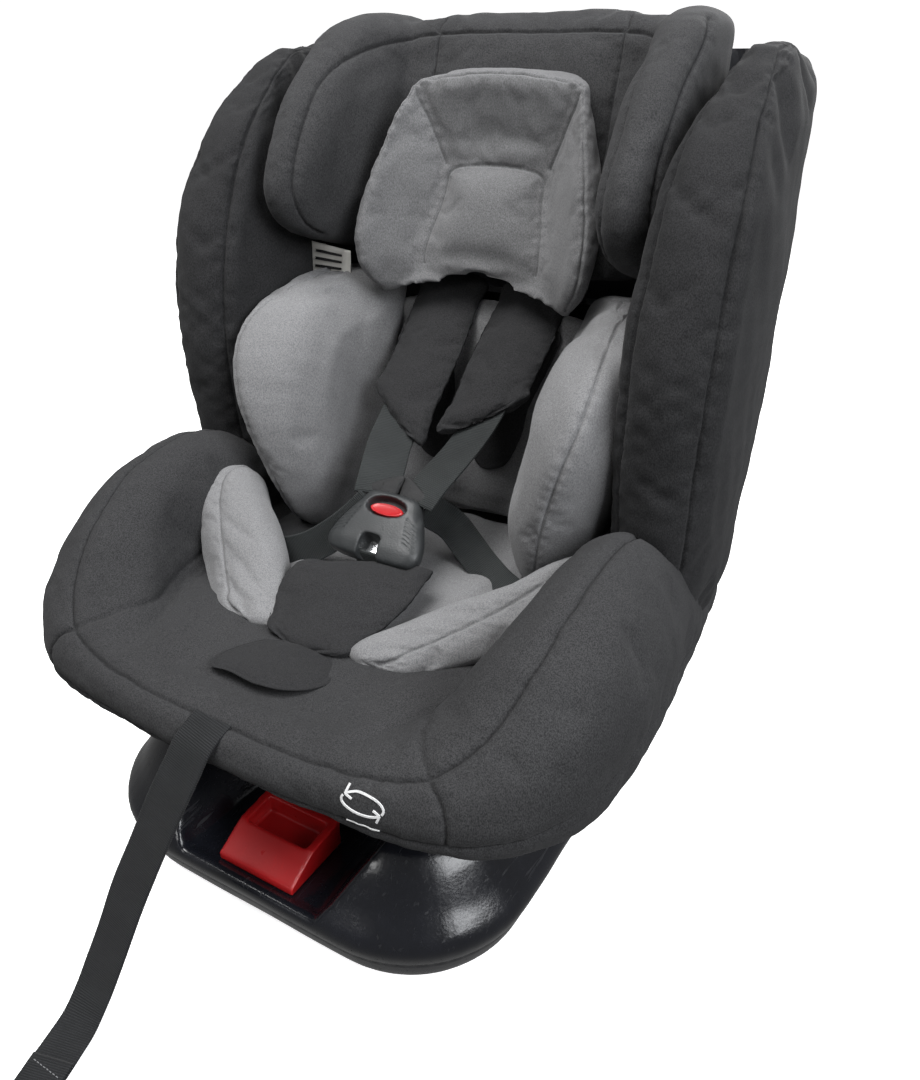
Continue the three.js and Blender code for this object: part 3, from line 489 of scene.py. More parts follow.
def mixed(tree, fac, a, b):
    """A colour mix; a and b are colours or sockets."""
    n = node(tree, "ShaderNodeMix", data_type="RGBA")
    if isinstance(fac, float):
        n.inputs[0].default_value = fac
    else:
        tree.links.new(fac, n.inputs[0])
    for value, slot_index in ((a, 6), (b, 7)):
        if isinstance(value, (tuple, list)):
            n.inputs[slot_index].default_value = (*value, 1)
        else:
            tree.links.new(value, n.inputs[slot_index])
    return n.outputs[2]


def calc(tree, op, a, b=0.0):
    n = node(tree, "ShaderNodeMath", operation=op)
    for value, i in ((a, 0), (b, 1)):
        if isinstance(value, (int, float)):
            n.inputs[i].default_value = value
        else:
            tree.links.new(value, n.inputs[i])
    return n.outputs[0]


def bumped(tree, height, strength, distance, bsdf, under=None):
    n = node(tree, "ShaderNodeBump", Strength=strength, Distance=distance)
    tree.links.new(height, n.inputs["Height"])
    if under is not None:
        tree.links.new(under, n.inputs["Normal"])
    tree.links.new(n.outputs["Normal"], bsdf.inputs["Normal"])
    return n.outputs["Normal"]


def faded(colour, factor):
    return tuple(factor * c for c in colour)


def shade(level):
    """A linear value from an sRGB level of 0 to 255."""
    c = level / 255
    return c / 12.92 if c <= 0.04045 else ((c + 0.055) / 1.055) ** 2.4


def tint(r, g, b):
    return (shade(r), shade(g), shade(b))


def fabric(name, dark, light, fleck, sheen=0.25, grain=1.0):
    """A heathered knit: yarn flecks of two shades, a bump at yarn scale, soft shade drift, paler worn ridges,
    painted shade in its creases and hollows, and sheen.
    """
    mat, tree, bsdf, place = new_material(name)
    knit = node(tree, "ShaderNodeTexVoronoi", Scale=1150.0 * grain, feature="DISTANCE_TO_EDGE")
    stretched = scaled(tree, place, (1.0, 1.0, 0.62))
    tree.links.new(stretched, knit.inputs["Vector"])
    flecks = noise_at(tree, scaled(tree, place, (1.0, 1.0, 0.5)), 1500.0 * grain, 1.0, 0.5)
    cross = noise_at(tree, scaled(tree, place, (0.5, 0.5, 1.0)), 1250.0 * grain, 1.0, 0.5)
    drift = noise_at(tree, place, 14.0, 2.0, 0.5)
    base = mixed(tree, ramp(tree, flecks, 0.0, 1.0, 0.34, 0.66), dark, light)
    base = mixed(tree, ramp(tree, cross, 0.0, fleck, 0.58, 0.75), base, faded(light, 1.5))
    base = mixed(tree, ramp(tree, drift, 0.0, 0.2, 0.4, 0.7), base, faded(dark, 0.8))
    curvature = node(tree, "ShaderNodeNewGeometry").outputs["Pointiness"]
    # Paler yarn on convex ridges, where the knit is worn.
    base = mixed(tree, ramp(tree, curvature, 0.0, 0.2, 0.53, 0.62), base, faded(light, 1.3))
    # Painted shade: concave creases and hollows are darkened towards a deep tone of the dark yarn, standing
    # in for the shade that falls there.
    base = mixed(tree, ramp(tree, curvature, 0.85, 0.0, 0.41, 0.487), base, faded(dark, 0.3))
    tree.links.new(base, bsdf.inputs["Base Color"])
    rough = calc(tree, "ADD", ramp(tree, flecks, 0.0, 0.1), 0.84)
    tree.links.new(rough, bsdf.inputs["Roughness"])
    bsdf.inputs["Specular IOR Level"].default_value = 0.12
    bsdf.inputs["Sheen Weight"].default_value = sheen
    bsdf.inputs["Sheen Roughness"].default_value = 0.55
    first = bumped(tree, knit.outputs["Distance"], 0.3, 0.0005, bsdf)
    bumped(tree, flecks, 0.2, 0.0006, bsdf, first)
    return mat


def webbing_material(name, dark, light):
    """Woven polyester webbing: ribs across the strap from its UV, a herringbone of two yarns, worn sheen."""
    mat, tree, bsdf, place = new_material(name)
    uv = node(tree, "ShaderNodeUVMap").outputs["UV"]
    ribs = node(tree, "ShaderNodeTexWave", Scale=1.0, Distortion=0.6, bands_direction="Y")
    ribs.inputs["Detail Scale"].default_value = 6.0
    tree.links.new(scaled(tree, uv, (1.0, 210.0, 1.0)), ribs.inputs["Vector"])
    cords = node(tree, "ShaderNodeTexWave", Scale=1.0, Distortion=0.3, bands_direction="X")
    tree.links.new(scaled(tree, uv, (330.0, 1.0, 1.0)), cords.inputs["Vector"])
    fuzz = noise_at(tree, place, 900.0, 3.0, 0.6)
    drift = noise_at(tree, place, 35.0, 2.0, 0.5)
    relief = calc(tree, "ADD", calc(tree, "MULTIPLY", cords.outputs["Fac"], 0.45), 0.55)
    weave = calc(tree, "MULTIPLY", ribs.outputs["Fac"], relief)
    base = mixed(tree, weave, dark, light)
    base = mixed(tree, ramp(tree, fuzz, 0.0, 0.35), base, faded(dark, 0.6))
    base = mixed(tree, ramp(tree, drift, 0.0, 0.4), base, light)
    tree.links.new(base, bsdf.inputs["Base Color"])
    bsdf.inputs["Roughness"].default_value = 0.62
    bsdf.inputs["Sheen Weight"].default_value = 0.06
    bsdf.inputs["Specular IOR Level"].default_value = 0.2
    bumped(tree, weave, 0.6, 0.0007, bsdf)
    return mat


def plastic(name, colour, rough=0.3, grain=0.15, grain_scale=420.0, scratch=0.3, coat=0.0, mottled=None):
    """Moulded plastic: fine leather grain, uneven gloss, hairline scratches and paler rubbed edges."""
    mat, tree, bsdf, place = new_material(name)
    grain_tex = node(tree, "ShaderNodeTexVoronoi", Scale=grain_scale)
    tree.links.new(place, grain_tex.inputs["Vector"])
    patches = noise_at(tree, place, 22.0, 4.0, 0.6)
    dust = noise_at(tree, place, 300.0, 3.0, 0.7)
    lines = noise_at(tree, scaled(tree, place, (1.0, 0.06, 0.5)), 380.0, 2.0, 0.5, 0.4)
    curvature = node(tree, "ShaderNodeNewGeometry").outputs["Pointiness"]
    pale = tuple(min(1.0, 1.9 * c + 0.012) for c in colour)
    base = mixed(tree, ramp(tree, patches, 0.0, 0.5), colour, mottled or faded(colour, 0.8))
    base = mixed(tree, ramp(tree, curvature, 0.0, 0.7, 0.52, 0.6), base, pale)
    base = mixed(tree, ramp(tree, lines, 0.0, scratch, 0.66, 0.72), base, pale)
    tree.links.new(base, bsdf.inputs["Base Color"])
    gloss = calc(tree, "ADD", ramp(tree, patches, -0.05, 0.07), rough)
    gloss = calc(tree, "ADD", gloss, ramp(tree, lines, 0.0, 0.25, 0.64, 0.72))
    gloss = calc(tree, "ADD", gloss, ramp(tree, dust, 0.0, 0.08, 0.5, 0.7))
    tree.links.new(gloss, bsdf.inputs["Roughness"])
    bsdf.inputs["Coat Weight"].default_value = coat
    bsdf.inputs["Coat Roughness"].default_value = 0.12
    first = bumped(tree, grain_tex.outputs["Distance"], grain, 0.0004, bsdf)
    bumped(tree, patches, 0.08, 0.002, bsdf, first)
    return mat


def metal(name, colour, rough=0.3):
    """Zinc-plated steel: brushed streaks and cloudy plating."""
    mat, tree, bsdf, place = new_material(name)
    streaks = noise_at(tree, scaled(tree, place, (1.0, 1.0, 0.05)), 700.0, 2.0, 0.5)
    clouds = noise_at(tree, place, 60.0, 3.0, 0.6)
    base = mixed(tree, ramp(tree, clouds, 0.0, 0.6), colour, faded(colour, 0.7))
    tree.links.new(base, bsdf.inputs["Base Color"])
    bsdf.inputs["Metallic"].default_value = 1.0
    tree.links.new(calc(tree, "ADD", ramp(tree, streaks, -0.06, 0.12), rough), bsdf.inputs["Roughness"])
    bumped(tree, streaks, 0.15, 0.0004, bsdf)
    return mat


def plain(name, colour, rough):
    """Printed film or matt lining: slightly uneven shade and gloss."""
    mat, tree, bsdf, place = new_material(name)
    spots = noise_at(tree, place, 240.0, 3.0, 0.6)
    base = mixed(tree, ramp(tree, spots, 0.0, 0.4), colour, faded(colour, 0.86))
    tree.links.new(base, bsdf.inputs["Base Color"])
    tree.links.new(calc(tree, "ADD", ramp(tree, spots, -0.05, 0.05), rough), bsdf.inputs["Roughness"])
    bumped(tree, spots, 0.1, 0.0003, bsdf)
    return mat


MAT = {
    "dark": fabric("dark_knit", tint(29, 29, 30), tint(47, 47, 48), 0.3, sheen=0.04),
    "head": fabric("headrest_knit", tint(41, 41, 42), tint(62, 62, 63), 0.3, sheen=0.05),
    "seat": fabric("seat_knit", tint(38, 38, 39), tint(61, 61, 62), 0.28, sheen=0.03),
    "pad": fabric("pad_knit", tint(33, 33, 34), tint(50, 50, 51), 0.2, sheen=0.03),
    "grey": fabric("grey_knit", tint(90, 90, 91), tint(115, 115, 116), 0.25, sheen=0.1),
    "insert": fabric("insert_knit", tint(102, 102, 103), tint(129, 129, 130), 0.25, sheen=0.12),
    "lining": fabric("lining_cloth", tint(26, 26, 28), tint(34, 34, 36), 0.1, sheen=0.05),
    "webbing": webbing_material("black_webbing", tint(19, 20, 21), tint(40, 41, 43)),
    "harness": webbing_material("harness_webbing", tint(26, 28, 29), tint(54, 57, 57)),
    "black": plastic("black_gloss", tint(17, 18, 22), 0.2, 0.12, 500.0, 0.25, coat=0.2,
                     mottled=tint(25, 27, 35)),
    "tray": plastic("black_satin", tint(22, 23, 26), 0.34, 0.25, 520.0, 0.15),
    "shell": plastic("shell_black", tint(38, 39, 42), 0.42, 0.5, 620.0, 0.15),
    "red": plastic("red_gloss", tint(176, 24, 26), 0.32, 0.1, 520.0, 0.1, coat=0.15,
                   mottled=tint(150, 16, 20)),
    "buckle": plastic("buckle_satin", tint(44, 46, 47), 0.46, 0.2, 700.0, 0.2),
    "button": plastic("button_red", tint(168, 30, 34), 0.3, 0.05, 600.0, 0.1),
    "steel": metal("plated_steel", (0.55, 0.56, 0.58), 0.28),
    "bright": metal("bright_steel", (0.85, 0.86, 0.88), 0.16),
    "rubber": plastic("rubber", tint(26, 26, 27), 0.75, 0.5, 800.0, 0.05),
    "thread": plain("thread", tint(30, 30, 31), 0.8),
    "grey_thread": plain("grey_thread", tint(120, 120, 122), 0.8),
    "label": plain("label_film", tint(222, 220, 214), 0.5),
    "label_edge": plain("label_yellow", tint(210, 168, 44), 0.5),
    "print": plain("pale_print", tint(205, 205, 205), 0.55),
}

# ---------------------------------------------------------------- camera, floor and light

CAMERA_AT = (0.3557, -0.5612, 0.5656)
LOOK_DOWN = 28.328
TURNED = 30.554
FOCAL = 30.0
SENSOR = 36.0

cam_data = bpy.data.cameras.new("camera")
cam_data.sensor_fit = "VERTICAL"
cam_data.sensor_height = SENSOR
cam_data.sensor_width = SENSOR
cam_data.lens = FOCAL
cam_data.clip_start = 0.02
camera = bpy.data.objects.new("camera", cam_data)
camera.location = CAMERA_AT
camera.rotation_euler = (math.radians(90 - LOOK_DOWN), 0, math.radians(TURNED))
scene.collection.objects.link(camera)
scene.camera = camera


FLOOR_SIDES = 96
FLOOR_DROP = 0.0003
FLOOR_PROFILE = [(0.0, 0.0), (1.2, 0.0), (3.0, 0.0), (4.6, 0.0), (5.4, 0.15), (5.9, 0.7), (6.1, 1.8),
                 (6.1, 4.5)]
PAPER_GLOW = 0.8
WORLD_LIGHT = 0.2


def make_floor():
    """A pale sweep: a floor that curves up far behind the object, so that no horizon shows."""
    turns = [2 * math.pi * i / FLOOR_SIDES for i in range(FLOOR_SIDES)]
    verts = [(r * math.cos(a), r * math.sin(a), z - FLOOR_DROP) for r, z in FLOOR_PROFILE for a in turns]
    mesh = bpy.data.meshes.new("studio_floor")
    mesh.from_pydata(verts, [], tube_faces(len(FLOOR_PROFILE), FLOOR_SIDES)[:-2])
    mesh.shade_smooth()
    floor = bpy.data.objects.new("studio_floor", mesh)
    scene.collection.objects.link(floor)
    mat = bpy.data.materials.new("studio_paper")
    mat.use_nodes = True
    bsdf = mat.node_tree.nodes["Principled BSDF"]
    bsdf.inputs["Base Color"].default_value = (0.9, 0.9, 0.9, 1)
    bsdf.inputs["Emission Color"].default_value = (1, 1, 1, 1)
    bsdf.inputs["Emission Strength"].default_value = PAPER_GLOW
    bsdf.inputs["Roughness"].default_value = 0.95
    bsdf.inputs["Specular IOR Level"].default_value = 0.1
    mesh.materials.append(mat)
    floor.visible_diffuse = False
    floor.visible_glossy = False


def area_light(name, at, target, size, watts, colour=(1, 1, 1)):
    data = bpy.data.lights.new(name, "AREA")
    data.shape = "RECTANGLE"
    data.size, data.size_y = size
    data.energy = watts
    data.color = colour
    light = bpy.data.objects.new(name, data)
    light.location = at
    light.rotation_euler = (Vector(target) - Vector(at)).to_track_quat("-Z", "Y").to_euler()
    scene.collection.objects.link(light)


make_floor()
world = bpy.data.worlds.new("studio")
scene.world = world
world.use_nodes = True
world.node_tree.nodes["Background"].inputs["Color"].default_value = (1.0, 1.0, 1.0, 1)
world.node_tree.nodes["Background"].inputs["Strength"].default_value = WORLD_LIGHT
scene.view_settings.view_transform = "Standard"
area_light("top", (-0.3, -0.5, 2.2), (0, 0, 0.35), (1.3, 1.3), 60)
area_light("right", (2.0, -0.5, 1.5), (0, 0, 0.3), (1.4, 1.4), 58, (0.95, 0.97, 1.0))
area_light("front", (-0.5, -2.1, 1.3), (0, 0, 0.25), (0.75, 0.45), 6)
area_light("back", (0.2, 2.1, 1.3), (0, 0, 0.3), (1.6, 1.2), 42)

# ---------------------------------------------------------------- webbing

SHOULDER_WIDTH = 36.0
LAP_WIDTH = 26.0
ADJUSTER_WIDTH = 30.0
WEBBING_THICKNESS = 2.0
ADJUSTER_FOLD = 32.0


def ribbon(name, path, side, width, thick, spacing=2.0, curl=0.0, seed=3, lift=0.0):
    """A flat woven band along path in mm: rounded selvedges, faint unevenness, and UVs in metres."""
    pts = smooth_line(path, spacing)
    n = len(pts)
    tangent = np.gradient(pts, axis=0)
    tangent /= np.linalg.norm(tangent, axis=1)[:, None]
    sides = np.asarray(side, float)
    if sides.ndim == 1:
        sides = np.tile(sides, (n, 1))
    else:
        sides = hermite(sides, np.linspace(0, len(sides) - 1, n))
    sides = sides - tangent * (sides * tangent).sum(axis=1)[:, None]
    sides /= np.linalg.norm(sides, axis=1)[:, None]
    out = np.cross(tangent, sides)
    half, t = width / 2, thick / 2
    flat = np.linspace(-half + 1.6, half - 1.6, 11)
    profile = [(a, t * (0.86 + 0.02 * abs(a) / half)) for a in flat]
    profile += [(half - 0.7, t * 1.02), (half, t * 0.55), (half, -t * 0.55), (half - 0.7, -t * 1.02)]
    profile += [(a, -t * 0.88) for a in flat[::-1]]
    profile += [(-half + 0.7, -t * 1.02), (-half, -t * 0.55), (-half, t * 0.55), (-half + 0.7, t * 1.02)]
    s = lengths(pts)
    wave = sine_noise(np.stack([s, s * 0, s * 0], axis=1), 46, seed)
    verts, uvs = [], []
    for i in range(n):
        for a, b in profile:
            bow = curl * (a / half) ** 2 + 0.25 * wave[i] * (a / half) + lift
            verts.append((pts[i] + sides[i] * (a + 0.2 * wave[i]) + out[i] * (b + bow)) * MM)
            uvs.append(((a + half) * MM, s[i] * MM))
    obj = new_mesh(name, verts, tube_faces(n, len(profile)))
    layer = obj.data.uv_layers.new(name="UVMap")
    for loop in obj.data.loops:
        layer.data[loop.index].uv = uvs[loop.vertex_index]
    return obj, pts


def stitch_rows(name, lines, normal_at, body, material, pitch=3.2, length=2.2, radius=0.32):
    """Sewing thread: a short rounded stitch every pitch mm along each line."""
    verts, faces = [], []
    for line in lines:
        fine = smooth_line(line, pitch)
        for i in range(len(fine) - 1):
            a, b = fine[i], fine[i + 1]
            d = b - a
            gap = np.linalg.norm(d)
            d /= max(gap, TINY)
            up = np.asarray(normal_at((a + b) / 2), float)
            side = np.cross(d, up)
            side /= max(np.linalg.norm(side), TINY)
            mid = (a + b) / 2
            base = len(verts)
            for k, (at, r) in enumerate(((-0.5, 0.35), (-0.3, 1.0), (0.3, 1.0), (0.5, 0.35))):
                for q in range(6):
                    ang = 2 * math.pi * q / 6
                    rise = 0.12 if k in (1, 2) else -0.2
                    p = mid + d * at * length + side * radius * r * math.cos(ang)
                    p = p + up * (radius * r * math.sin(ang) + rise)
                    verts.append(p * MM)
            faces += tube_faces(4, 6, base)
    obj = new_mesh(name, verts, faces)
    return finish_piece(obj, body, material)


def surface_of(*objs):
    """A search tree over the faces of objects that lie in the row frame."""
    verts, polys = [], []
    for o in objs:
        base = len(verts)
        verts.extend(o.matrix_world @ v.co for v in o.data.vertices)
        polys.extend([base + i for i in p.vertices] for p in o.data.polygons)
    return BVHTree.FromPolygons(verts, polys)


def on_surface(tree, points, lift=0.0):
    """Points in mm moved to the nearest place on a surface, and lift mm off it."""
    out, ups = [], []
    for p in points:
        hit, no, _, _ = tree.find_nearest(Vector(p) * MM)
        out.append(np.array(hit) / MM + np.array(no) * lift)
        ups.append(np.array(no))
    return np.array(out), np.array(ups)


STRAP_ROUTE = [
    (0, -216.4, 199.2), (0, -228, 200.2), (-1, -243, 201), (-3, -259, 199), (-6, -273, 190),
    (-10, -283, 174), (-16, -293, 154), (-23, -303, 131), (-30, -313, 107), (-37, -323, 82),
    (-43, -333, 57), (-48, -343, 34), (-51, -354, 15), (-50, -368, 4), (-46, -386, 1.4),
    (-41, -404, 1.4), (-36, -422, 1.4),
]


def make_free_strap():
    strap, pts = ribbon("adjuster_webbing", STRAP_ROUTE, X, ADJUSTER_WIDTH, WEBBING_THICKNESS, spacing=2.5)
    finish_piece(strap, "seat", MAT["webbing"], ["adjuster_strap"])
    end = pts[-1]
    back = pts[np.linalg.norm(pts - end, axis=1) < ADJUSTER_FOLD]
    fold, _ = ribbon("adjuster_webbing_fold", back, X, ADJUSTER_WIDTH - 0.6, 1.6, spacing=2.5, lift=1.9)
    finish_piece(fold, "seat", MAT["webbing"])
    rows = []
    for share in (0.25, 0.75):
        p = back[int(share * (len(back) - 1))]
        rows.append(np.array([p + X * a + Z * 2.9 for a in np.linspace(-12, 12, 7)]))
    thread = stitch_rows("adjuster_webbing_stitches", rows, lambda p: Z, "seat", MAT["grey_thread"])


make_free_strap()

# ---------------------------------------------------------------- the seat's wings and cover

BACK_LEAN = 0.325
BACK_Y = 105.0
BACK_Z = 383.0


def back_face(z):
    return BACK_Y + (z - BACK_Z) * BACK_LEAN


def mirror(control, side):
    """Control rings for the seat's right (side 1) or left (side -1)."""
    return [np.asarray(ring, float) * np.array([side, 1, 1]) for ring in control]


# z, inner face, outer face, front, rear
WING_STATIONS = [
    (172, 173, 212, 12, 130), (200, 166, 220, -28, 192), (260, 163, 224, -44, 216), (310, 163, 226, -50, 219),
    (370, 163, 227, -52, 223), (430, 163, 227, -42, 229), (487, 164, 224, -18, 235), (526, 166, 220, 12, 240),
    (550, 170, 216, 42, 241), (565, 175, 211, 68, 238),
]
WING_FULL_WIDTH = 62.0
# share of the wing's depth from its front, and how far the outer face lies outside the outer line there
OUTER_TAPER = ((0.15, 0.5), (0.37, 0.0), (0.60, -8.5), (0.82, -19.0), (0.985, -35.0))


def wing_control():
    rings = []
    for z, inner, outer, front, rear in WING_STATIONS:
        depth = rear - front
        ring = [
            (inner + 12, rear - 3, z), (inner, rear - 0.25 * depth, z), (inner - 1, front + 0.45 * depth, z),
            (inner + 1, front + 0.16 * depth, z), (inner + 6, front + 9, z),
            ((inner + outer) / 2, front - 1, z), (outer - 5, front + 10, z),
        ]
        narrow = min(1.0, (outer - inner) / WING_FULL_WIDTH)
        ring += [(outer + dx * narrow, front + share * depth, z) for share, dx in OUTER_TAPER]
        rings.append(ring)
    return rings


def make_wing(side, label):
    control = ends_rounded(mirror(wing_control(), side), ((0, 10, -4), (0, 2, 10)))
    last = len(control) - 1
    rows = list(np.linspace(3.2, last - 2.6, 12))
    inner_seam = [(r, 4) for r in rows] + [(last - 2.2, 3.6)]
    outer_seam = [(r, 6) for r in rows] + [(last - 2.1, 6.5), (last - 1.9, 7.2)]
    soft_piece(
        f"side_wing_{label}_cover", control, 7.0, [inner_seam, outer_seam], "seat", MAT["dark"],
        [f"side_wing_{label}"], cap=5, seed=11 + side, broad=0.7, fine=0.3,
        deflate=1.5,
    )


# outer point, inner point, crest height, and how far from the inner side the crest lies
RIM_STATIONS = [
    ((206, 118), (176, 112), 196, 0.5), ((213, 70), (170, 70), 208, 0.5), ((218, 25), (164, 25), 232, 0.5),
    ((222, -15), (158, -10), 264, 0.5), ((226, -58), (152, -50), 285, 0.5),
    ((228, -110), (149, -98), 290, 0.5), ((226, -158), (145, -138), 279, 0.52),
    ((216, -202), (134, -172), 254, 0.58), ((196, -234), (118, -196), 226, 0.66),
    ((165, -253), (98, -212), 207, 0.74), ((120, -262), (76, -222), 200, 0.78),
    ((60, -267), (40, -229), 198, 0.76),
]
FRONT_STATION = ((0, -269), (0, -231), 197.5, 0.74)
HEM = 150.0
HEM_RISE = 15.0


def rim_ring(station):
    (ox, oy), (ix, iy), top, crest = station
    hem = HEM + HEM_RISE * min(1.0, max(0.0, (-150 - oy) / 100))
    o, i = np.array([ox, oy, 0.0]), np.array([ix, iy, 0.0])
    rise = top - hem

    def at(share, height):
        return i + (o - i) * share + Z * height

    return [
        at(0.16, hem + 3), at(-0.02, hem + 0.22 * rise), at(0.0, hem + 0.62 * rise),
        at(0.12, hem + 0.9 * rise), at(crest, top), at(crest + (1 - crest) * 0.66, hem + 0.86 * rise),
        at(1.0, hem + 0.5 * rise), at(0.985, hem + 0.2 * rise), at(0.93, hem - 1), at(0.62, hem + 1.5),
    ]


def rim_control():
    right = [rim_ring(s) for s in RIM_STATIONS]
    left = [np.asarray(r) * FLIP for r in right[::-1]]
    return [np.asarray(r) for r in right] + [np.asarray(rim_ring(FRONT_STATION))] + left


CUSHION_LOW = 168.0
# y, half width, top
CUSHION_STATIONS = [
    (-246, 84, 195), (-225, 108, 197.5), (-190, 128, 199), (-120, 146, 198), (-40, 150, 198), (30, 150, 203),
    (90, 150, 214),
]


def cushion_control():
    rings = []
    for y, half, top in CUSHION_STATIONS:
        ring = [(half, y, CUSHION_LOW + 4), (half, y, top - 6), (half - 12, y, top),
                (half * 0.5, y, top - 1.0), (0, y, top - 1.5)]
        ring += flipped(ring[3::-1])
        ring += [(-half * 0.5, y, CUSHION_LOW), (half * 0.5, y, CUSHION_LOW)]
        rings.append(ring)
    return rings


def joined(name, objs):
    """One mesh from several, in the row frame."""
    verts, faces = [], []
    for o in objs:
        base = len(verts)
        verts.extend(tuple(v.co) for v in o.data.vertices)
        faces.extend([base + i for i in p.vertices] for p in o.data.polygons)
        bpy.data.objects.remove(o)
    return new_mesh(name, verts, faces)


def remeshed(obj, voxel):
    mod = obj.modifiers.new("voxels", "REMESH")
    mod.mode = "VOXEL"
    mod.voxel_size = voxel * MM
    apply_modifiers(obj)


def relaxed(obj, times):
    """Evens a mesh out by moving each vertex towards its neighbours' mean."""
    n = len(obj.data.vertices)
    edges = np.zeros(len(obj.data.edges) * 2, int)
    obj.data.edges.foreach_get("vertices", edges)
    a, b = edges.reshape(-1, 2).T
    count = np.maximum(np.bincount(a, minlength=n) + np.bincount(b, minlength=n), 1)
    co = coords(obj)
    for _ in range(times):
        total = np.zeros_like(co)
        for k in range(3):
            total[:, k] = np.bincount(a, co[b, k], n) + np.bincount(b, co[a, k], n)
        co = co + 0.5 * (total / count[:, None] - co)
    set_coords(obj, co)


def projected(obj, line, spacing=1.0):
    """A smooth line laid onto a mesh's surface."""
    return on_surface(surface_of(obj), smooth_line(line, spacing))[0]


def flipped(line):
    """A line's mirror image on the seat's other side."""
    return [(-x, y, z) for x, y, z in line]


def there_and_back(points):
    """A line from the seat's right to its front, carried on as its mirror image."""
    return np.array(points + [p * FLIP for p in points[-2::-1]])


VALLEY = [(136, -219, 203), (134, -190, 208), (140, -160, 212), (146, -120, 214), (150, -70, 214),
          (152, -20, 214)]
HEM_PINS = 154.0


def make_seat_cover():
    """The seat's fabric in one skin: bolsters, front lip and cushion."""
    rim, _ = mesh_from_grid("rim", Grid(ends_rounded(rim_control(), ((-2, 8, 0), (2, 8, 0))), 6.0))
    slab, _ = mesh_from_grid("slab", Grid(ends_rounded(cushion_control(), ((0, -5, 0), (0, 6, 0))), 8.0))
    cover = joined("seat_cover", [rim, slab])
    remeshed(cover, 4.5)
    relaxed(cover, 7)
    swell(cover, 4.0)
    rings = [rim_ring(station) for station in RIM_STATIONS[2:]]
    front = rim_ring(FRONT_STATION)
    lines = [
        projected(cover, there_and_back([ring[4] for ring in rings] + [front[4]])),
        projected(cover, there_and_back([ring[7] + Z * 2 for ring in rings] + [front[7] + Z])),
    ]
    corner = rim_ring(RIM_STATIONS[9])
    for side in (1, -1):
        flip = np.array([side, 1, 1])
        down = [p * flip for p in (corner[4], corner[5], corner[6], corner[7] + Z * 2)]
        valley = [np.array(p, float) * flip for p in (corner[4], *VALLEY)]
        lines += [projected(cover, down), projected(cover, valley)]
    swell(cover, -1.2)
    low = [i for i, p in enumerate(coords(cover) / MM) if p[2] < HEM_PINS]
    puff(cover, sorted({*close_to(cover, lines, 3.2), *low}), 4, 3.0, 0.008)
    subdivide(cover)
    crumple(cover, 0.7, 0.3, 5)
    lines = [projected(cover, line) for line in lines]
    sew(cover, lines[:2] + lines[2::2], depth=2.0, reach=(5,))
    sew(cover, [lines[3], lines[5]], depth=1.1, width=2.2, pucker=0.15, reach=(5,))
    return finish_piece(cover, "seat", MAT["seat"],
                        ["front_roll", "seat_bolster_left", "seat_bolster_right", "seat_cushion"])


# ---------------------------------------------------------------- headrest and pillow


def remade_piece(name, parts, voxel, relax, swollen, seams, body, material, replaces=(),
                 cap=4, pressure=3.0, seed=1, broad=0.6, fine=0.25, depth=1.8):
    """A padded piece from overlapping control forms made one skin; seams are lines in mm laid onto it."""
    objs = [mesh_from_grid(f"{name}_{k}", Grid(control, voxel * 1.5))[0] for k, control in enumerate(parts)]
    obj = joined(name, objs)
    remeshed(obj, voxel)
    relaxed(obj, relax)
    swell(obj, swollen)
    lines = [projected(obj, line) for line in seams]
    swell(obj, -1.0)
    puff(obj, close_to(obj, lines, 0.75 * voxel), cap, pressure, 0.008)
    subdivide(obj)
    crumple(obj, broad, fine, seed)
    sew(obj, [projected(obj, line) for line in lines], depth=depth, reach=(4.5,))
    return finish_piece(obj, body, material, replaces)


# z, the wings' front edge and rear edge
HEAD_STATIONS = [
    (427, 60, 112), (436, 32, 126), (448, 8, 131), (466, -5, 138), (490, -3, 146), (520, 14, 157),
    (548, 38, 167), (568, 62, 174), (582, 84, 178),
]
HEAD_TOP = 583.0


def head_face(z):
    return back_face(z) - 25


def head_edge(z):
    table = np.array(HEAD_STATIONS)
    return float(np.interp(z, table[:, 0], table[:, 1]))


def head_wing_control():
    rings = []
    for z, front, rear in HEAD_STATIONS:
        face = head_face(z)
        ring = [
            (100, rear - 2), (142, rear), (157, (front + rear) / 2), (155, front + 16), (143, front),
            (127, front + 9), (116, front * 0.5 + face * 0.5), (103, face + 4),
        ]
        rings.append([(x, y, z) for x, y in ring])
    return rings


def head_panel_control():
    rings = []
    for z, back in ((416, 4), (430, 8), (480, 10), (530, 10), (560, 10), (HEAD_TOP, 8)):
        face, rear = head_face(z), back_face(z) + back
        half = [(0, rear), (70, rear), (112, rear), (122, (face + rear) / 2), (112, face + 1), (70, face),
                (0, face)]
        rings.append([(x, y, z) for x, y in half] + [(-x, y, z) for x, y in half[-2:0:-1]])
    return rings


def make_headrest():
    wing = ends_rounded(head_wing_control(), ((0, 20, -9), (0, 16, 12)))
    panel = ends_rounded(head_panel_control(), ((0, 4, -6), (0, 10, 13)))
    side = [(127, head_edge(z) + 9, z) for z in (438, 452, 472, 500, 525, 545)]
    over = [(123, head_edge(560) + 16, 560), (113, 92, 570), (98, head_face(577) - 1, 577),
            (72, head_face(580), 580), (36, head_face(581), 581), (0, head_face(581), 581)]
    rim = side + over
    rim = rim + flipped(rim[-2::-1])
    outer = [(155, head_edge(z) + 17, z) for z in (438, 452, 472, 500, 525, 550, 572)] + [(151, 106, 588)]
    panel_line = [(79, 150, 596), (79, 139, 596), (79, 132, 590), (79, head_face(581), 581)]
    panel_line += [(79, head_face(z), z) for z in (560, 530, 490, 455)]
    parts = [wing, mirror(wing, -1), panel]
    return remade_piece(
        "headrest_cover", parts, 4.2, 5, 2.2, [rim, outer, flipped(outer), panel_line, flipped(panel_line)],
        "headrest", MAT["head"],
        ["headrest_cushion", "headrest_wing_left", "headrest_wing_right"], seed=21, broad=0.6,
        fine=0.25,
    )


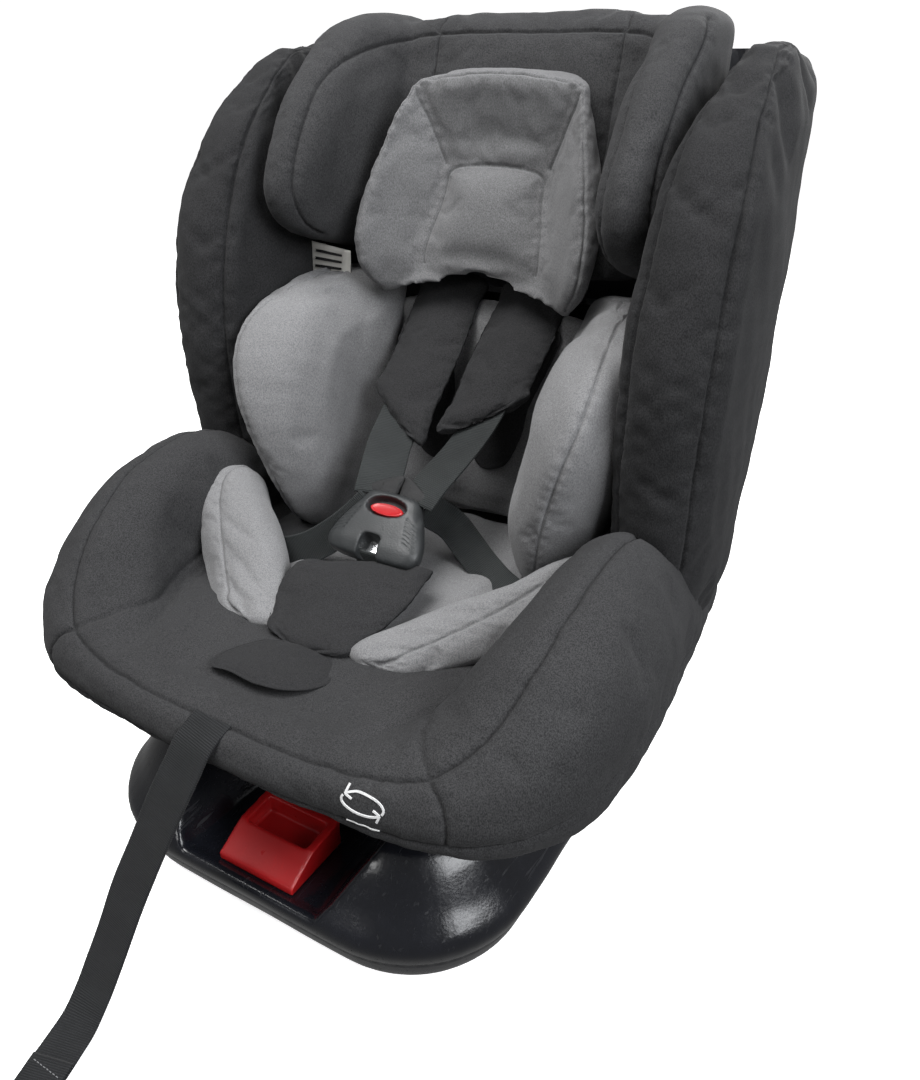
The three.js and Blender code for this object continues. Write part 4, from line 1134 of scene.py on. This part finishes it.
# z, wing half width, wing depth, crease half width, crease depth, centre depth, back half width, arch
PILLOW_STATIONS = [
    (398, 90, -61, 52, -41, -40, 62, 28), (412, 99, -73, 51, -43, -46, 72, 22),
    (432, 103, -80, 48, -43, -52, 78, 12), (456, 102, -82, 44, -42, -55, 79, 4),
    (480, 97, -82, 42, -42, -53, 76, 0), (489, 95, -82, 45, -43, -45, 74, 0),
    (500, 91, -80, 50, -47, -46, 71, 0), (520, 84, -78, 59, -55, -53, 64, 1.5),
    (538, 76, -75, 68, -64, -62, 56, 4), (548, 72, -72, 69, -67, -67, 52, 7),
]


def pillow_control():
    rings = []
    for z, wing, wing_depth, crease, crease_depth, centre, back, arch in PILLOW_STATIONS:
        y = back_face(z)
        half = [
            (0, -31), (back, -31), (wing - 9, -47), (wing - 1, wing_depth + 8), (wing - 4, wing_depth),
            (wing * 0.55 + crease * 0.45, wing_depth * 0.55 + crease_depth * 0.45), (crease, crease_depth),
            (crease * 0.6, centre * 0.85 + crease_depth * 0.15), (0, centre),
        ]
        ring = [(x, y + d) for x, d in half] + [(-x, y + d) for x, d in half[-2:0:-1]]
        rings.append([(x, d, z + arch * (1 - (x / wing) ** 2)) for x, d in ring])
    bottom = np.array(rings[0])
    middle = bottom.mean(axis=0) * Y
    below = [middle + (bottom - middle) * np.array([wide, deep, 1.0]) - Z * drop
             for wide, deep, drop in ((0.9, 0.4, 7.0), (0.97, 0.76, 4.0))]
    return below + rings


def make_pillow():
    control = ends_rounded(pillow_control(), ((0, 0, 6), (0, 6, 4)))
    grid = Grid(control, 4.0)
    last = len(control) - 1
    top = last - 3.95
    rows = list(np.linspace(5.0, top - 0.2, 9))
    edge = [(r, 4) for r in rows] + [(top + 0.05, c) for c in range(5, 12)] + [(r, 12) for r in rows[::-1]]
    creases = [[(r, c) for r in np.linspace(11.1, top - 0.3, 7)] for c in (6, 10)]
    oval = [(6.0, 6.1), (7.5, 6.0), (9.0, 6.0), (10.3, 6.1), (10.85, 6.6), (11.05, 7.3), (11.1, 8.0),
            (11.05, 8.7), (10.85, 9.4), (10.3, 9.9), (9.0, 10.0), (7.5, 10.0), (6.0, 9.9)]
    seams = [grid.path(knots, 3.0) for knots in (edge, *creases, oval)]
    return remade_piece(
        "head_pillow_cover", [control], 3.0, 5, 1.2, seams, "headrest", MAT["grey"],
        ["head_pillow"], cap=1.6, pressure=2.0, seed=31, broad=0.5, fine=0.15, depth=1.3,
    )


# ---------------------------------------------------------------- newborn insert

# z, then x and y of: rim, outer front, outer middle, inner front; the rest follows
TORSO_STATIONS = [
    (204, (112, -26), (124, -12), (124, 20), (95, -16)), (220, (114, -42), (132, -22), (132, 18), (91, -27)),
    (242, (118, -53), (139, -30), (142, 18), (90, -36)), (268, (123, -61), (147, -36), (151, 15), (93, -45)),
    (300, (132, -67), (155, -42), (160, 12), (100, -50)),
    (328, (140, -67), (161, -40), (161, 10), (106, -50)),
    (354, (147, -59), (161, -32), (161, 14), (110, -44)),
    (378, (149, -42), (161, -14), (161, 24), (114, -27)), (391, (146, -22), (160, 2), (160, 36), (117, -8)),
    (398, (142, -2), (156, 16), (156, 44), (121, 12)),
]


def torso_control():
    rings = []
    for z, rim, outer_front, outer_mid, inner_front in TORSO_STATIONS:
        back = back_face(z) - 3
        root = np.array([88.0, back])
        inner = np.array(inner_front, float)
        ring = [
            rim, outer_front, outer_mid, (outer_mid[0] - 8, (outer_mid[1] + back) / 2 + 10),
            (outer_mid[0] - 30, back), tuple(root), tuple(root * 0.55 + inner * 0.45 + np.array([-3, 0])),
            tuple(inner),
        ]
        rings.append([(x, y, z) for x, y in ring])
    return rings


def make_torso_insert(side, label):
    control = ends_rounded(mirror(torso_control(), side), ((0, 3, -9), (0, 8, 9)))
    last = len(control) - 1
    rim = [(r, 0) for r in np.linspace(1.2, last - 2.0, 14)] + [(last - 1.2, 7.6), (last - 1.0, 6.6)]
    return soft_piece(
        f"torso_insert_{label}_cover", control, 5.5, [rim], "seat", MAT["insert"],
        [f"torso_insert_{label}"], cap=5, seed=41 + side, broad=0.6, fine=0.25, depth=1.5,
        deflate=1.5,
    )


# y, centre x, centre z, half width, half height, how far the top leans out
THIGH_STATIONS = {
    1: [
        (-34, 151, 239, 9, 21, 3), (-50, 148, 238, 13, 25, 5), (-68, 140, 235, 20, 27, 9),
        (-86, 129, 230, 26, 26, 11), (-106, 113, 224, 32, 23, 10), (-126, 94, 217, 34, 18, 6),
        (-144, 75, 211, 33, 14, 2), (-160, 59, 207, 27, 11, 0),
    ],
    -1: [
        (-56, 143, 239, 15, 25, 6), (-70, 137, 239, 25, 30, 12), (-86, 127, 236, 36, 32, 17),
        (-104, 113, 229, 43, 30, 17), (-122, 99, 220, 45, 24, 10), (-140, 83, 212, 40, 15, 4),
        (-158, 65, 206, 33, 9, 0),
    ],
}


def make_thigh_insert(side, label):
    rings = []
    for y, x, z, half_width, half_height, lean in THIGH_STATIONS[side]:
        rings.append([(x + half_width * u + lean * v, y, z + half_height * v)
                      for u, v in squircle(8, 0.82, 0.82)])
    control = ends_rounded(mirror(rings, side), ((0, 8, 0), (-8 * side, -10, -1)))
    last = len(control) - 1
    rim = list(zip(np.linspace(1.4, last - 1.3, 9), (2.6, 2.4, 2.2, 2.0, 1.8, 1.6, 1.3, 1.0, 0.6)))
    return soft_piece(
        f"thigh_insert_{label}_cover", control, 5.0, [rim], "seat", MAT["insert"],
        [f"thigh_insert_{label}"], cap=4, seed=51 + side, broad=0.5, fine=0.25, depth=1.4,
        deflate=1.2,
    )


def pad_control(stations, thick, power=0.6):
    """Rings of a flat pad: each station is a centre, a half-width vector and an outward direction."""
    rings = []
    for centre, across, out in stations:
        c, a, o = (np.asarray(v, float) for v in (centre, across, out))
        o = o / np.linalg.norm(o)
        rings.append([c + a * u + o * thick / 2 * v for u, v in squircle(10, power, 0.9)])
    return rings


BACK_INSERT = ((222, 78), (250, 94), (300, 96), (350, 94), (385, 86))
SEAT_INSERT = ((40, 96, 213), (0, 96, 208), (-60, 92, 205.5), (-100, 84, 204), (-130, 70, 203),
               (-148, 48, 201.5))


def make_flat_inserts():
    """The newborn insert's flat back panel and its seat panel."""
    stations = [((0, back_face(z) - 11, z), (half, 0, 0), (0, -1, 0.325)) for z, half in BACK_INSERT]
    control = ends_rounded(pad_control(stations, 14), ((0, 1, -5), (0, 1, 4)))
    soft_piece("back_insert_cover", control, 7.0, [], "seat", MAT["insert"],
               ["backrest_cushion"], cap=3, seed=61, broad=0.9, fine=0.3)
    stations = [((0, y, z), (half, 0, 0), (0, 0, 1)) for y, half, z in SEAT_INSERT]
    control = ends_rounded(pad_control(stations, 12), ((0, 6, 1), (0, -7, -1)))
    soft_piece("seat_insert_cover", control, 7.0, [], "seat", MAT["insert"], [],
               cap=3, seed=62, broad=0.9, fine=0.3)


SIDES = ((1, "right"), (-1, "left"))

for side, label in SIDES:
    make_wing(side, label)
seat_cover = make_seat_cover()
make_headrest()
make_pillow()
for make in (make_torso_insert, make_thigh_insert):
    for side, label in SIDES:
        make(side, label)
make_flat_inserts()

# ---------------------------------------------------------------- shoulder pads and crotch pad

# x, y, z, half width
PAD_STATIONS = [
    (38, 104, 402, 27), (38, 87, 386, 31), (37, 68, 369, 32), (36, 48, 351, 32), (36, 29, 334, 31),
    (35, 12, 318, 29),
]
PAD_SLANT = 20.0
LEFT_PAD_LONGER = 13.0


def pad_rings(side, thick):
    stations = []
    longer = np.linspace(0, LEFT_PAD_LONGER if side < 0 else 0.0, len(PAD_STATIONS))
    path = np.array([(x * side, y - 0.72 * k, z - 0.70 * k) for (x, y, z, _), k in zip(PAD_STATIONS, longer)])
    along = np.gradient(path, axis=0)
    along /= np.linalg.norm(along, axis=1)[:, None]
    for k, (_, _, _, half) in enumerate(PAD_STATIONS):
        slant = PAD_SLANT * max(0.0, (k - 2) / 3) ** 1.5
        out = np.cross(along[k], X)
        out = out if out[1] < 0 else -out
        stations.append((path[k], X * half - along[k] * slant * side, out))
    return pad_control(stations, thick, 0.5), along[-1]


def pad_edge(start, stop, turn):
    """A pad's seam: along one side from row start to row stop, round the end at row turn, and back."""
    there = [(r, 0) for r in np.linspace(start, stop, 12)]
    back = [(r, 5) for r in np.linspace(stop, start, 12)]
    return there + [(turn, c) for c in (9.2, 8.4, 7.5, 6.6, 5.8)] + back


def make_shoulder_pad(side, label):
    rings, down = pad_rings(side, 11)
    control = ends_rounded(rings, (-down * 3, down * 4.5))
    last = len(control) - 1
    soft_piece(
        f"shoulder_pad_{label}_cover", control, 4.0, [pad_edge(2.2, last - 1.6, last - 1.25)], "headrest",
        MAT["pad"], [f"shoulder_pad_{label}"], cap=3, seed=71 + side, broad=0.5,
        fine=0.2, depth=0.8, deflate=0.6,
    )


# the stiffened end flap under each pad, on the backrest: x, height
TAB_OUTLINE = [
    (14, 300), (12, 268), (20, 262), (40, 267), (49, 284), (54, 316), (66, 352), (70, 372), (40, 376),
    (22, 340),
]
TAB_DEPTH = -23.0


def make_tab(side, label):
    """A flat padded leaf whose outline is given on the backrest's plane."""
    rim = np.array([(side * x, back_face(z) + TAB_DEPTH, z) for x, z in TAB_OUTLINE])
    edge = closed_ring(rim, np.arange(0, len(rim), 0.2))
    leaf(f"pad_flap_{label}", edge, np.array([0, -0.951, 0.309]), 6.0, "seat", MAT["pad"])


# a leaf's rings: how far out from its centre, and how thick there
LEAF_RINGS = [(0.0, 1.0), (0.3, 0.97), (0.6, 0.88), (0.84, 0.66), (0.95, 0.42), (1.0, 0.12)]


def leaf(name, edge, out, thick, body, material, replaces=(), bow=0.0, seed=81):
    """A thin padded shape from its edge line: domed on both sides, with a seam near the edge."""
    centre = edge.mean(axis=0)
    verts, index = [], []
    for share, height in LEAF_RINGS + [(share, -height) for share, height in LEAF_RINGS[::-1]]:
        if share == 0.0:
            index.append([len(verts)] * len(edge))
            verts.append((centre + out * (height * thick / 2 + bow)) * MM)
        else:
            index.append([len(verts) + j for j in range(len(edge))])
            lift = out * (height * thick / 2 + bow * (1 - share * share))
            verts.extend((centre + (p - centre) * share + lift) * MM for p in edge)
    obj = new_mesh(name, verts, faces_between(index))
    subdivide(obj)
    crumple(obj, 0.4, 0.15, seed)
    line = centre + (edge - centre) * 0.9
    line = np.concatenate([line, line[:1]]) + out * thick * 0.3
    sew(obj, [projected(obj, line)], depth=0.7, width=1.0, pucker=0.1, shoulder=0.25, reach=(4,))
    return finish_piece(obj, body, material, replaces)


# y, z, half width
CROTCH_PAD_STATIONS = [
    (-96, 231, 51), (-108, 228.5, 54), (-122, 223.5, 54), (-138, 217, 50), (-155, 211, 43), (-172, 206.5, 34),
]


def make_crotch_pad():
    stations = []
    for y, z, half in CROTCH_PAD_STATIONS:
        turn = 0.26 * min(1.0, max(0.0, (y + 172) / 76))
        stations.append(((0, y, z), (half, turn * half, turn * half * 0.35), (0, -0.5, 0.87)))
    control = ends_rounded(pad_control(stations, 10, 0.45), ((0, 3.5, 0.5), (0, -5, -2)))
    soft_piece("crotch_pad_cover", control, 4.0, [pad_edge(len(control) - 2.8, 2.0, 1.35)], "seat",
               MAT["pad"], ["crotch_pad"], cap=3, seed=91, broad=0.5, fine=0.2,
               depth=0.8, deflate=0.6)


FLAP_OUTLINE = [
    (-38, -225), (-43, -216), (-44, -205), (-39, -193), (-31, -183), (-10, -175), (15, -172), (39, -180),
    (42, -192), (38, -208), (26, -222), (7, -229), (-17, -227),
]


def make_flap():
    rim = np.array([(x, y, 208.0 - 0.0026 * x * x - 0.10 * (y + 195)) for x, y in FLAP_OUTLINE])
    edge = closed_ring(rim, np.arange(0, len(rim), 0.2))
    leaf("adjuster_flap_cover", edge, np.array([0, -0.1, 0.995]), 7.0, "seat", MAT["pad"],
         ["adjuster_flap"], bow=2.2, seed=83)


for make in (make_shoulder_pad, make_tab):
    for side, label in SIDES:
        make(side, label)
make_crotch_pad()
make_flap()

# ---------------------------------------------------------------- buckle and harness

BUCKLE_TILT = math.radians(38)
BUCKLE_CENTRE = np.array([0, -71.0, 251.5])
BUCKLE_UP = np.array([0, math.cos(BUCKLE_TILT), math.sin(BUCKLE_TILT)])
BUCKLE_OUT = np.array([0, -math.sin(BUCKLE_TILT), math.cos(BUCKLE_TILT)])


def in_buckle(across, along, out):
    return BUCKLE_CENTRE + X * across + BUCKLE_UP * along + BUCKLE_OUT * out


def cut(obj, cutter, operation="DIFFERENCE"):
    """A Boolean with another object, which goes away."""
    mod = obj.modifiers.new("cut", "BOOLEAN")
    mod.object = cutter
    mod.operation = operation
    mod.solver = "EXACT"
    apply_modifiers(obj)
    mesh = cutter.data
    bpy.data.objects.remove(cutter)
    bpy.data.meshes.remove(mesh)


def buckle_form(name, stations, power, spacing=1.6, ends=((0, 0, 0), (0, 0, 0))):
    """A form along the buckle: along, half width, back and front."""
    rings = []
    for along, half, back, front in stations:
        middle, deep = (front + back) / 2, (front - back) / 2
        rings.append([in_buckle(half * u, along, middle + deep * v) for u,
                      v in squircle(16, power, power, 0.5)])
    return mesh_from_grid(name, Grid(ends_rounded(rings, ends), spacing))[0]


def buckle_oval(wide, along, high, out, slope=0.0):
    """An oval ring on the buckle's face, out mm from its middle; slope lowers its upper end."""
    return [in_buckle(wide * math.cos(a), along + high * math.sin(a), out - slope * math.sin(a))
            for a in np.linspace(0, 2 * math.pi, 12, endpoint=False)]


# along, half width, back, front
BUCKLE_STATIONS = [
    (-27, 35, -8, 8), (-21, 40, -10.5, 10.5), (-10, 39, -11, 11.5), (4, 33, -11, 12), (15, 27, -10.5, 11.5),
    (24, 22, -9, 9.5),
]
NOTCH_STATIONS = [(-40, 9.5, -3, 30), (-24, 8.5, -3, 30), (-13, 7.5, -3, 30)]
LATCH_STATIONS = [(-24, 6, -4, -1.5), (-18, 6, -4, -1.5), (-12, 6, -4, -1.5)]
# how far out, and size; the button's top slopes
WELL_RINGS = [(3.0, 1.0), (8.0, 1.1), (14.0, 1.22), (30.0, 1.54)]
BUTTON_RINGS = [(1.0, 1.0, 0.0), (4.0, 1.0, 0.0), (7.6, 1.0, 1.3), (8.6, 0.93, 1.3)]
GRIP_RIBS = 7


def make_buckle():
    """The buckle: a housing with a notch, ribbed grips at its sides, and the button in its well."""
    body = buckle_form("buckle_body", BUCKLE_STATIONS, 0.62, ends=(-BUCKLE_UP * 2.5, BUCKLE_UP * 2.5))
    cut(body, buckle_form("notch", NOTCH_STATIONS, 0.5, 2.5, (-BUCKLE_UP * 1, BUCKLE_UP * 2)))
    well = [buckle_oval(15.5 * size, 12.5, 7.6 * size, out) for out, size in WELL_RINGS]
    cut(body, mesh_from_grid("well", Grid(ends_rounded(well, (-BUCKLE_OUT * 0.6, BUCKLE_OUT)), 1.6))[0])
    remeshed(body, 0.9)
    relaxed(body, 3)
    ribs = [[in_buckle(38 - 1.45 * k, -16 + 3.4 * k, 9), in_buckle(27 - 0.9 * k, -12 + 3.2 * k, 12)]
            for k in range(GRIP_RIBS)]
    ribs += [[p * FLIP for p in rib] for rib in ribs]
    engrave(body, [projected(body, rib, 0.8) for rib in ribs], 0.7, 0.7)
    finish_piece(body, "seat", MAT["buckle"], ["buckle_housing"])
    rings = [buckle_oval(14.4 * size, 11.0, 5.2 * size, out, slope) for out, size, slope in BUTTON_RINGS]
    ends = (-BUCKLE_OUT * 0.3, -BUCKLE_OUT * 0.8)
    cap, _ = mesh_from_grid("buckle_button_cap", Grid(ends_rounded(rings, ends), 1.3))
    finish_piece(cap, "buckle_button", MAT["button"], ["buckle_button"])
    latch = buckle_form("buckle_latch", LATCH_STATIONS, 0.4, 2.0, (-BUCKLE_UP * 0.4, BUCKLE_UP * 0.4))
    finish_piece(latch, "seat", MAT["bright"])


# across, along, half width, thickness
TONGUE_STATIONS = ((9, 20, 7, 6), (10, 24, 9, 7), (12, 28, 12, 7.5), (14, 32, 15, 7), (15.5, 35, 16, 6))
BLADE_STATIONS = [(18, 6, -1.2, 1.2), (28, 6.5, -1.2, 1.2), (34, 7, -1.2, 1.2)]
BLADE_ACROSS = 12


def make_tongue(side, label):
    """A steel tongue with a black moulded grip that fans out from the buckle's top corner to the slot."""
    rings = []
    for t, (across, along, half, thick) in enumerate(TONGUE_STATIONS):
        turn = math.radians(10 + 5 * t) * side
        c, w = math.cos(turn), math.sin(turn)
        rings.append([
            in_buckle(across * side + u * half * c, along - u * half * w, 1.5 + v * thick / 2 + 0.4 * t)
            for u, v in squircle(12, 0.55, 0.7, 0.5)
        ])
    lift = in_buckle(0.6 * side, 1.5, 0) - BUCKLE_CENTRE
    grip, _ = mesh_from_grid(f"harness_tongue_{label}_grip", Grid(ends_rounded(rings, (-lift, lift)), 1.8))
    finish_piece(grip, "seat", MAT["rubber"], [f"harness_tongue_{label}"])
    blade = buckle_form(f"harness_tongue_{label}_blade", BLADE_STATIONS, 0.4, 2.0,
                        (-BUCKLE_UP * 0.3, BUCKLE_UP * 0.3))
    set_coords(blade, coords(blade) + X * BLADE_ACROSS * side * MM)
    finish_piece(blade, "seat", MAT["bright"])


LAP_ROUTES = {
    1: [(22, -48, 263), (36, -36, 249), (50, -32, 232), (66, -35, 219), (82, -42, 213), (96, -47, 211)],
    -1: [(-20, -58, 262), (-33, -68, 247), (-49, -77, 233), (-65, -83, 222), (-81, -86, 215),
         (-95, -86, 212)],
}
# the direction in which the lap webbing's width lies
LAP_FACING = {1: (0.56, 0.64, 0.49), -1: (-0.69, 0.0, 0.62)}


def make_harness(side, label):
    shoulder = [(36 * side, 34, 333), (35 * side, 16, 318), (32 * side, -6, 303), (26.5 * side, -28, 289.5),
                (21.5 * side, -43, 279), (18 * side, -55, 269)]
    upper, _ = ribbon(f"harness_webbing_{label}", shoulder, (1, -0.16 * side, 0.16 * side),
                      SHOULDER_WIDTH, WEBBING_THICKNESS, spacing=2.5, seed=3 + side, curl=-0.8)
    lower, _ = ribbon(f"lap_webbing_{label}", LAP_ROUTES[side], LAP_FACING[side], LAP_WIDTH,
                      WEBBING_THICKNESS, spacing=2.5, seed=13 + side, curl=-0.6)
    finish_piece(upper, "seat", MAT["harness"], [f"harness_strap_{label}"])
    finish_piece(lower, "seat", MAT["harness"])


def make_crotch_webbing():
    path = [(0, -89, 199), (0, -89, 215), (0, -90, 228), (0, -92, 240)]
    webbing, _ = ribbon("crotch_webbing", path, X, LAP_WIDTH, WEBBING_THICKNESS)
    finish_piece(webbing, "seat", MAT["harness"], ["crotch_strap"])


make_buckle()
for side, label in SIDES:
    make_tongue(side, label)
    make_harness(side, label)
make_crotch_webbing()

# ---------------------------------------------------------------- label and mark


def flat_patch(name, corners, thick, body, material, bulge=0.0, n=10):
    """A thin sheet from four corners in turn: outer left, outer right, lower right, lower left."""
    a, b, c, d = (np.asarray(v, float) for v in corners)
    out = np.cross(b - a, d - a)
    out /= np.linalg.norm(out)
    verts, faces = [], []
    for face in (1, -1):
        for i in range(n + 1):
            for j in range(n + 1):
                s, t = i / n, j / n
                p = (1 - t) * ((1 - s) * a + s * b) + t * ((1 - s) * d + s * c)
                curve = bulge * math.sin(math.pi * t) + 0.4 * math.sin(5.0 * s + 2.0 * t)
                verts.append((p + out * (curve + face * thick / 2)) * MM)
    m = n + 1
    for i in range(n):
        for j in range(n):
            q = [i * m + j, i * m + j + 1, (i + 1) * m + j + 1, (i + 1) * m + j]
            faces.append(q)
            faces.append([v + m * m for v in q[::-1]])
    rim = [i * m for i in range(n)] + [n * m + j for j in range(n)]
    rim += [i * m + n for i in range(n, 0, -1)] + list(range(n, 0, -1))
    for k, v in enumerate(rim):
        w = rim[(k + 1) % len(rim)]
        faces.append([v, w, w + m * m, v + m * m])
    obj = new_mesh(name, verts, faces)
    return finish_piece(obj, body, material)


def make_label():
    """A blank care label in the left wing's inner side, with a yellow band and plain lines for text."""
    top_left, top_right = np.array([-176.0, 60, 428]), np.array([-116.0, 59, 422])
    low_right, low_left = np.array([-118.0, 58, 396]), np.array([-182.0, 60, 392])
    corners = (top_left, top_right, low_right, low_left)
    flat_patch("care_label", corners, 0.6, "seat", MAT["label"], 0.8)

    def at(s, t, lift):
        p = (1 - t) * ((1 - s) * top_left + s * top_right) + t * ((1 - s) * low_left + s * low_right)
        return p + np.array([0, -1.0 - lift, 0])

    band = (at(0.1, 0.05, 0.6), at(0.3, 0.05, 0.6), at(0.3, 0.97, 0.6), at(0.1, 0.97, 0.6))
    flat_patch("care_label_band", band, 0.5, "seat", MAT["label_edge"], 0.8)
    for k in range(4):
        t = 0.16 + 0.2 * k
        bar = (at(0.4, t, 0.6), at(0.86, t, 0.6), at(0.86, t + 0.07, 0.6), at(0.4, t + 0.07, 0.6))
        flat_patch(f"care_label_line_{k}", bar, 0.4, "seat", MAT["thread"], 0.8, 4)


STROKE = ((-1, 0), (-0.8, 0.25), (0.8, 0.25), (1, 0), (1, -0.5), (-1, -0.5))


def printed(name, outline_lines, width, tree, body, material):
    """Flat strokes laid on a surface: each line in mm becomes a thin raised band."""
    verts, faces = [], []
    for line in outline_lines:
        pts, ups = on_surface(tree, smooth_line(line, 1.2), 0.35)
        d = np.gradient(pts, axis=0)
        d /= np.maximum(np.linalg.norm(d, axis=1), TINY)[:, None]
        across = np.cross(d, ups)
        faces += tube_faces(len(pts), len(STROKE), len(verts))
        for p, side, up in zip(pts, across, ups):
            verts.extend((p + side * width / 2 * a + up * b) * MM for a, b in STROKE)
    obj = new_mesh(name, verts, faces, smooth=False)
    return finish_piece(obj, body, material)


MARK_CENTRE, MARK_WIDE, MARK_HIGH = (121.0, 191.0), 14.0, 6.0
MARK_FROM = -285.0
ARROW = 3.5


def make_mark():
    """A plain turning mark on the front lip: an open oval of two arrows, and a dash under it."""
    tree = surface_of(seat_cover)
    x, z = MARK_CENTRE
    lines = []
    for start, stop in ((158, 327), (-22, 147)):
        arc = [(x + MARK_WIDE * math.cos(a), MARK_FROM, z + MARK_HIGH * math.sin(a))
               for a in np.radians(np.linspace(start, stop, 14))]
        tip, before = np.array(arc[-1]), np.array(arc[-3])
        d = (tip - before) / np.linalg.norm(tip - before)
        n = np.cross(d, Y)
        lines += [arc, [tip - d * ARROW + n * ARROW, tip], [tip - d * ARROW - n * ARROW, tip]]
    lines.append([(x - 11, MARK_FROM, 176.0), (x + 11, MARK_FROM, 176.0)])
    front = []
    for line in lines:
        hits = [tree.ray_cast(Vector(p) * MM, Vector((-0.25, 1, 0)))[0]
                for p in smooth_line(np.array(line, float), 1.0)]
        hits = [np.array(hit) / MM for hit in hits if hit is not None]
        if len(hits) > 2:
            front.append(np.array(hits))
    printed("turning_mark", front, 1.5, tree, "seat", MAT["print"])


make_label()
make_mark()

# ---------------------------------------------------------------- base

BASE_HALF, BASE_FRONT, BASE_REAR, BASE_CORNER = 178.0, -259.0, 228.0, 98.0
# inset of the outline, height
BASE_LEVELS = [
    (24, 3.0), (19, 5.0), (14, 11), (9.5, 20), (6, 30), (3, 37), (0.8, 43), (0, 48), (1.2, 53), (6, 60),
    (13, 69), (21, 81), (29, 92), (38, 101), (46, 105.5),
]
RECESS_FLOOR, RECESS_BACK = 48.0, -172.0


GROOVE_HEIGHT = 32.0


def base_outline(inset, z, n=13):
    """The base's rounded outline, with extra points along its front for the handle's recess."""
    half, r = BASE_HALF - inset, max(BASE_CORNER - inset, 8)
    x, front, rear = half - r, BASE_FRONT + inset, BASE_REAR - inset
    ring = []
    for cx, cy, start in ((x, rear - r, 0), (-x, rear - r, 90), (-x, front + r, 180), (x, front + r, 270)):
        for k in range(n):
            a = math.radians(start + 90 * k / (n - 1))
            ring.append((cx + r * math.cos(a), cy + r * math.sin(a), z))
        if start == 180:
            ring += [(along, front, z) for along in np.linspace(cx, x, 9)[1:-1]]
    return ring


def ring_mesh(name, rings):
    """A closed body through equal rings of points in mm."""
    verts = [np.asarray(p, float) * MM for ring in rings for p in ring]
    return new_mesh(name, verts, tube_faces(len(rings), len(rings[0])))


def recess_outline(z, half, front):
    return [(-half, front, z), (half, front, z), (half - 4, RECESS_BACK, z), (-half + 4, RECESS_BACK, z)]


def make_base():
    """The base's gloss shell, its recess open to the front, with a fine groove round it."""
    levels = smooth_line(np.array([(inset, z, 0.0) for inset, z in BASE_LEVELS]), 3.0)
    body = ring_mesh("base_cover", [base_outline(inset, z) for inset, z, _ in levels])
    for name, floor, half, front in (("recess", RECESS_FLOOR, 60, BASE_FRONT + 9),
                                     ("recess_open", RECESS_FLOOR + 3.5, 62, BASE_FRONT - 20)):
        cut(body, ring_mesh(name, [recess_outline(floor, half, front), recess_outline(112, 99, front)]))
    remeshed(body, 2.4)
    relaxed(body, 3)
    swell(body, sine_noise(coords(body) / MM, 60, 3) * 0.25)
    groove = base_outline(5, GROOVE_HEIGHT)
    engrave(body, [projected(body, groove + groove[:1], 2.0)], 1.1, 1.5)
    finish_piece(body, "base", MAT["black"], ["base_housing", "base_tray"])


def across_body(name, profile, half):
    """A body of one profile of y and z, from -half to half across."""
    return ring_mesh(name, [[(x, y, z) for y, z in profile] for x in (-half, half)])


HANDLE_PROFILE = [(-247, 48.6), (-190, 48.6), (-190, 71), (-221, 68.5), (-246, 54.5)]
POCKET_PROFILE = [(-220, 56), (-196, 56), (-196, 90), (-223, 90)]
BAR_OUTLINE = [(-12, -190.5), (12, -190.5), (12, -120), (-12, -120)]


def make_handle():
    """The red rotation handle: a sloped front, rounded edges and a finger pocket behind it."""
    body = across_body("rotation_handle_cover", HANDLE_PROFILE, 34.0)
    cut(body, across_body("pocket", POCKET_PROFILE, 27.5))
    remeshed(body, 1.0)
    relaxed(body, 5)
    finish_piece(body, "rotation_handle", MAT["red"], ["rotation_handle"])
    stem = ring_mesh("rotation_handle_bar", [[(x, y, z) for x, y in BAR_OUTLINE] for z in (54.0, 60.0)])
    stem.data.shade_flat()
    finish_piece(stem, "rotation_handle", MAT["red"])


make_base()
make_handle()

# ---------------------------------------------------------------- finishes of the CAD pieces that stay

NODE_FINISH = {
    "tray": ["turntable_disc", "recline_lever", "rod_guide", "adjuster_housing"],
    "shell": ["seat_shell", "back_shell", "rear_cover", "headrest_board"],
    "rubber": ["rubber_strip_left", "rubber_strip_right"],
    "steel": ["lock_pin", "lock_spring", "lower_bearing_race", "upper_bearing_race", "centre_pivot",
              "recline_rail_left", "recline_rail_right", "anchor_guide_left", "anchor_guide_right",
              "anchor_arm_left", "anchor_arm_right", "anchor_hook_left", "anchor_hook_right",
              "adjuster_button", "harness_yoke", "headrest_rod_left", "headrest_rod_right"],
    "red": ["anchor_release_left", "anchor_release_right", "headrest_lever"],
}
for finish, names in NODE_FINISH.items():
    for name in names:
        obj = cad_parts[name]
        if not obj.material_slots:
            obj.data.materials.append(MAT[finish])
        for place in obj.material_slots:
            place.material = MAT[finish]
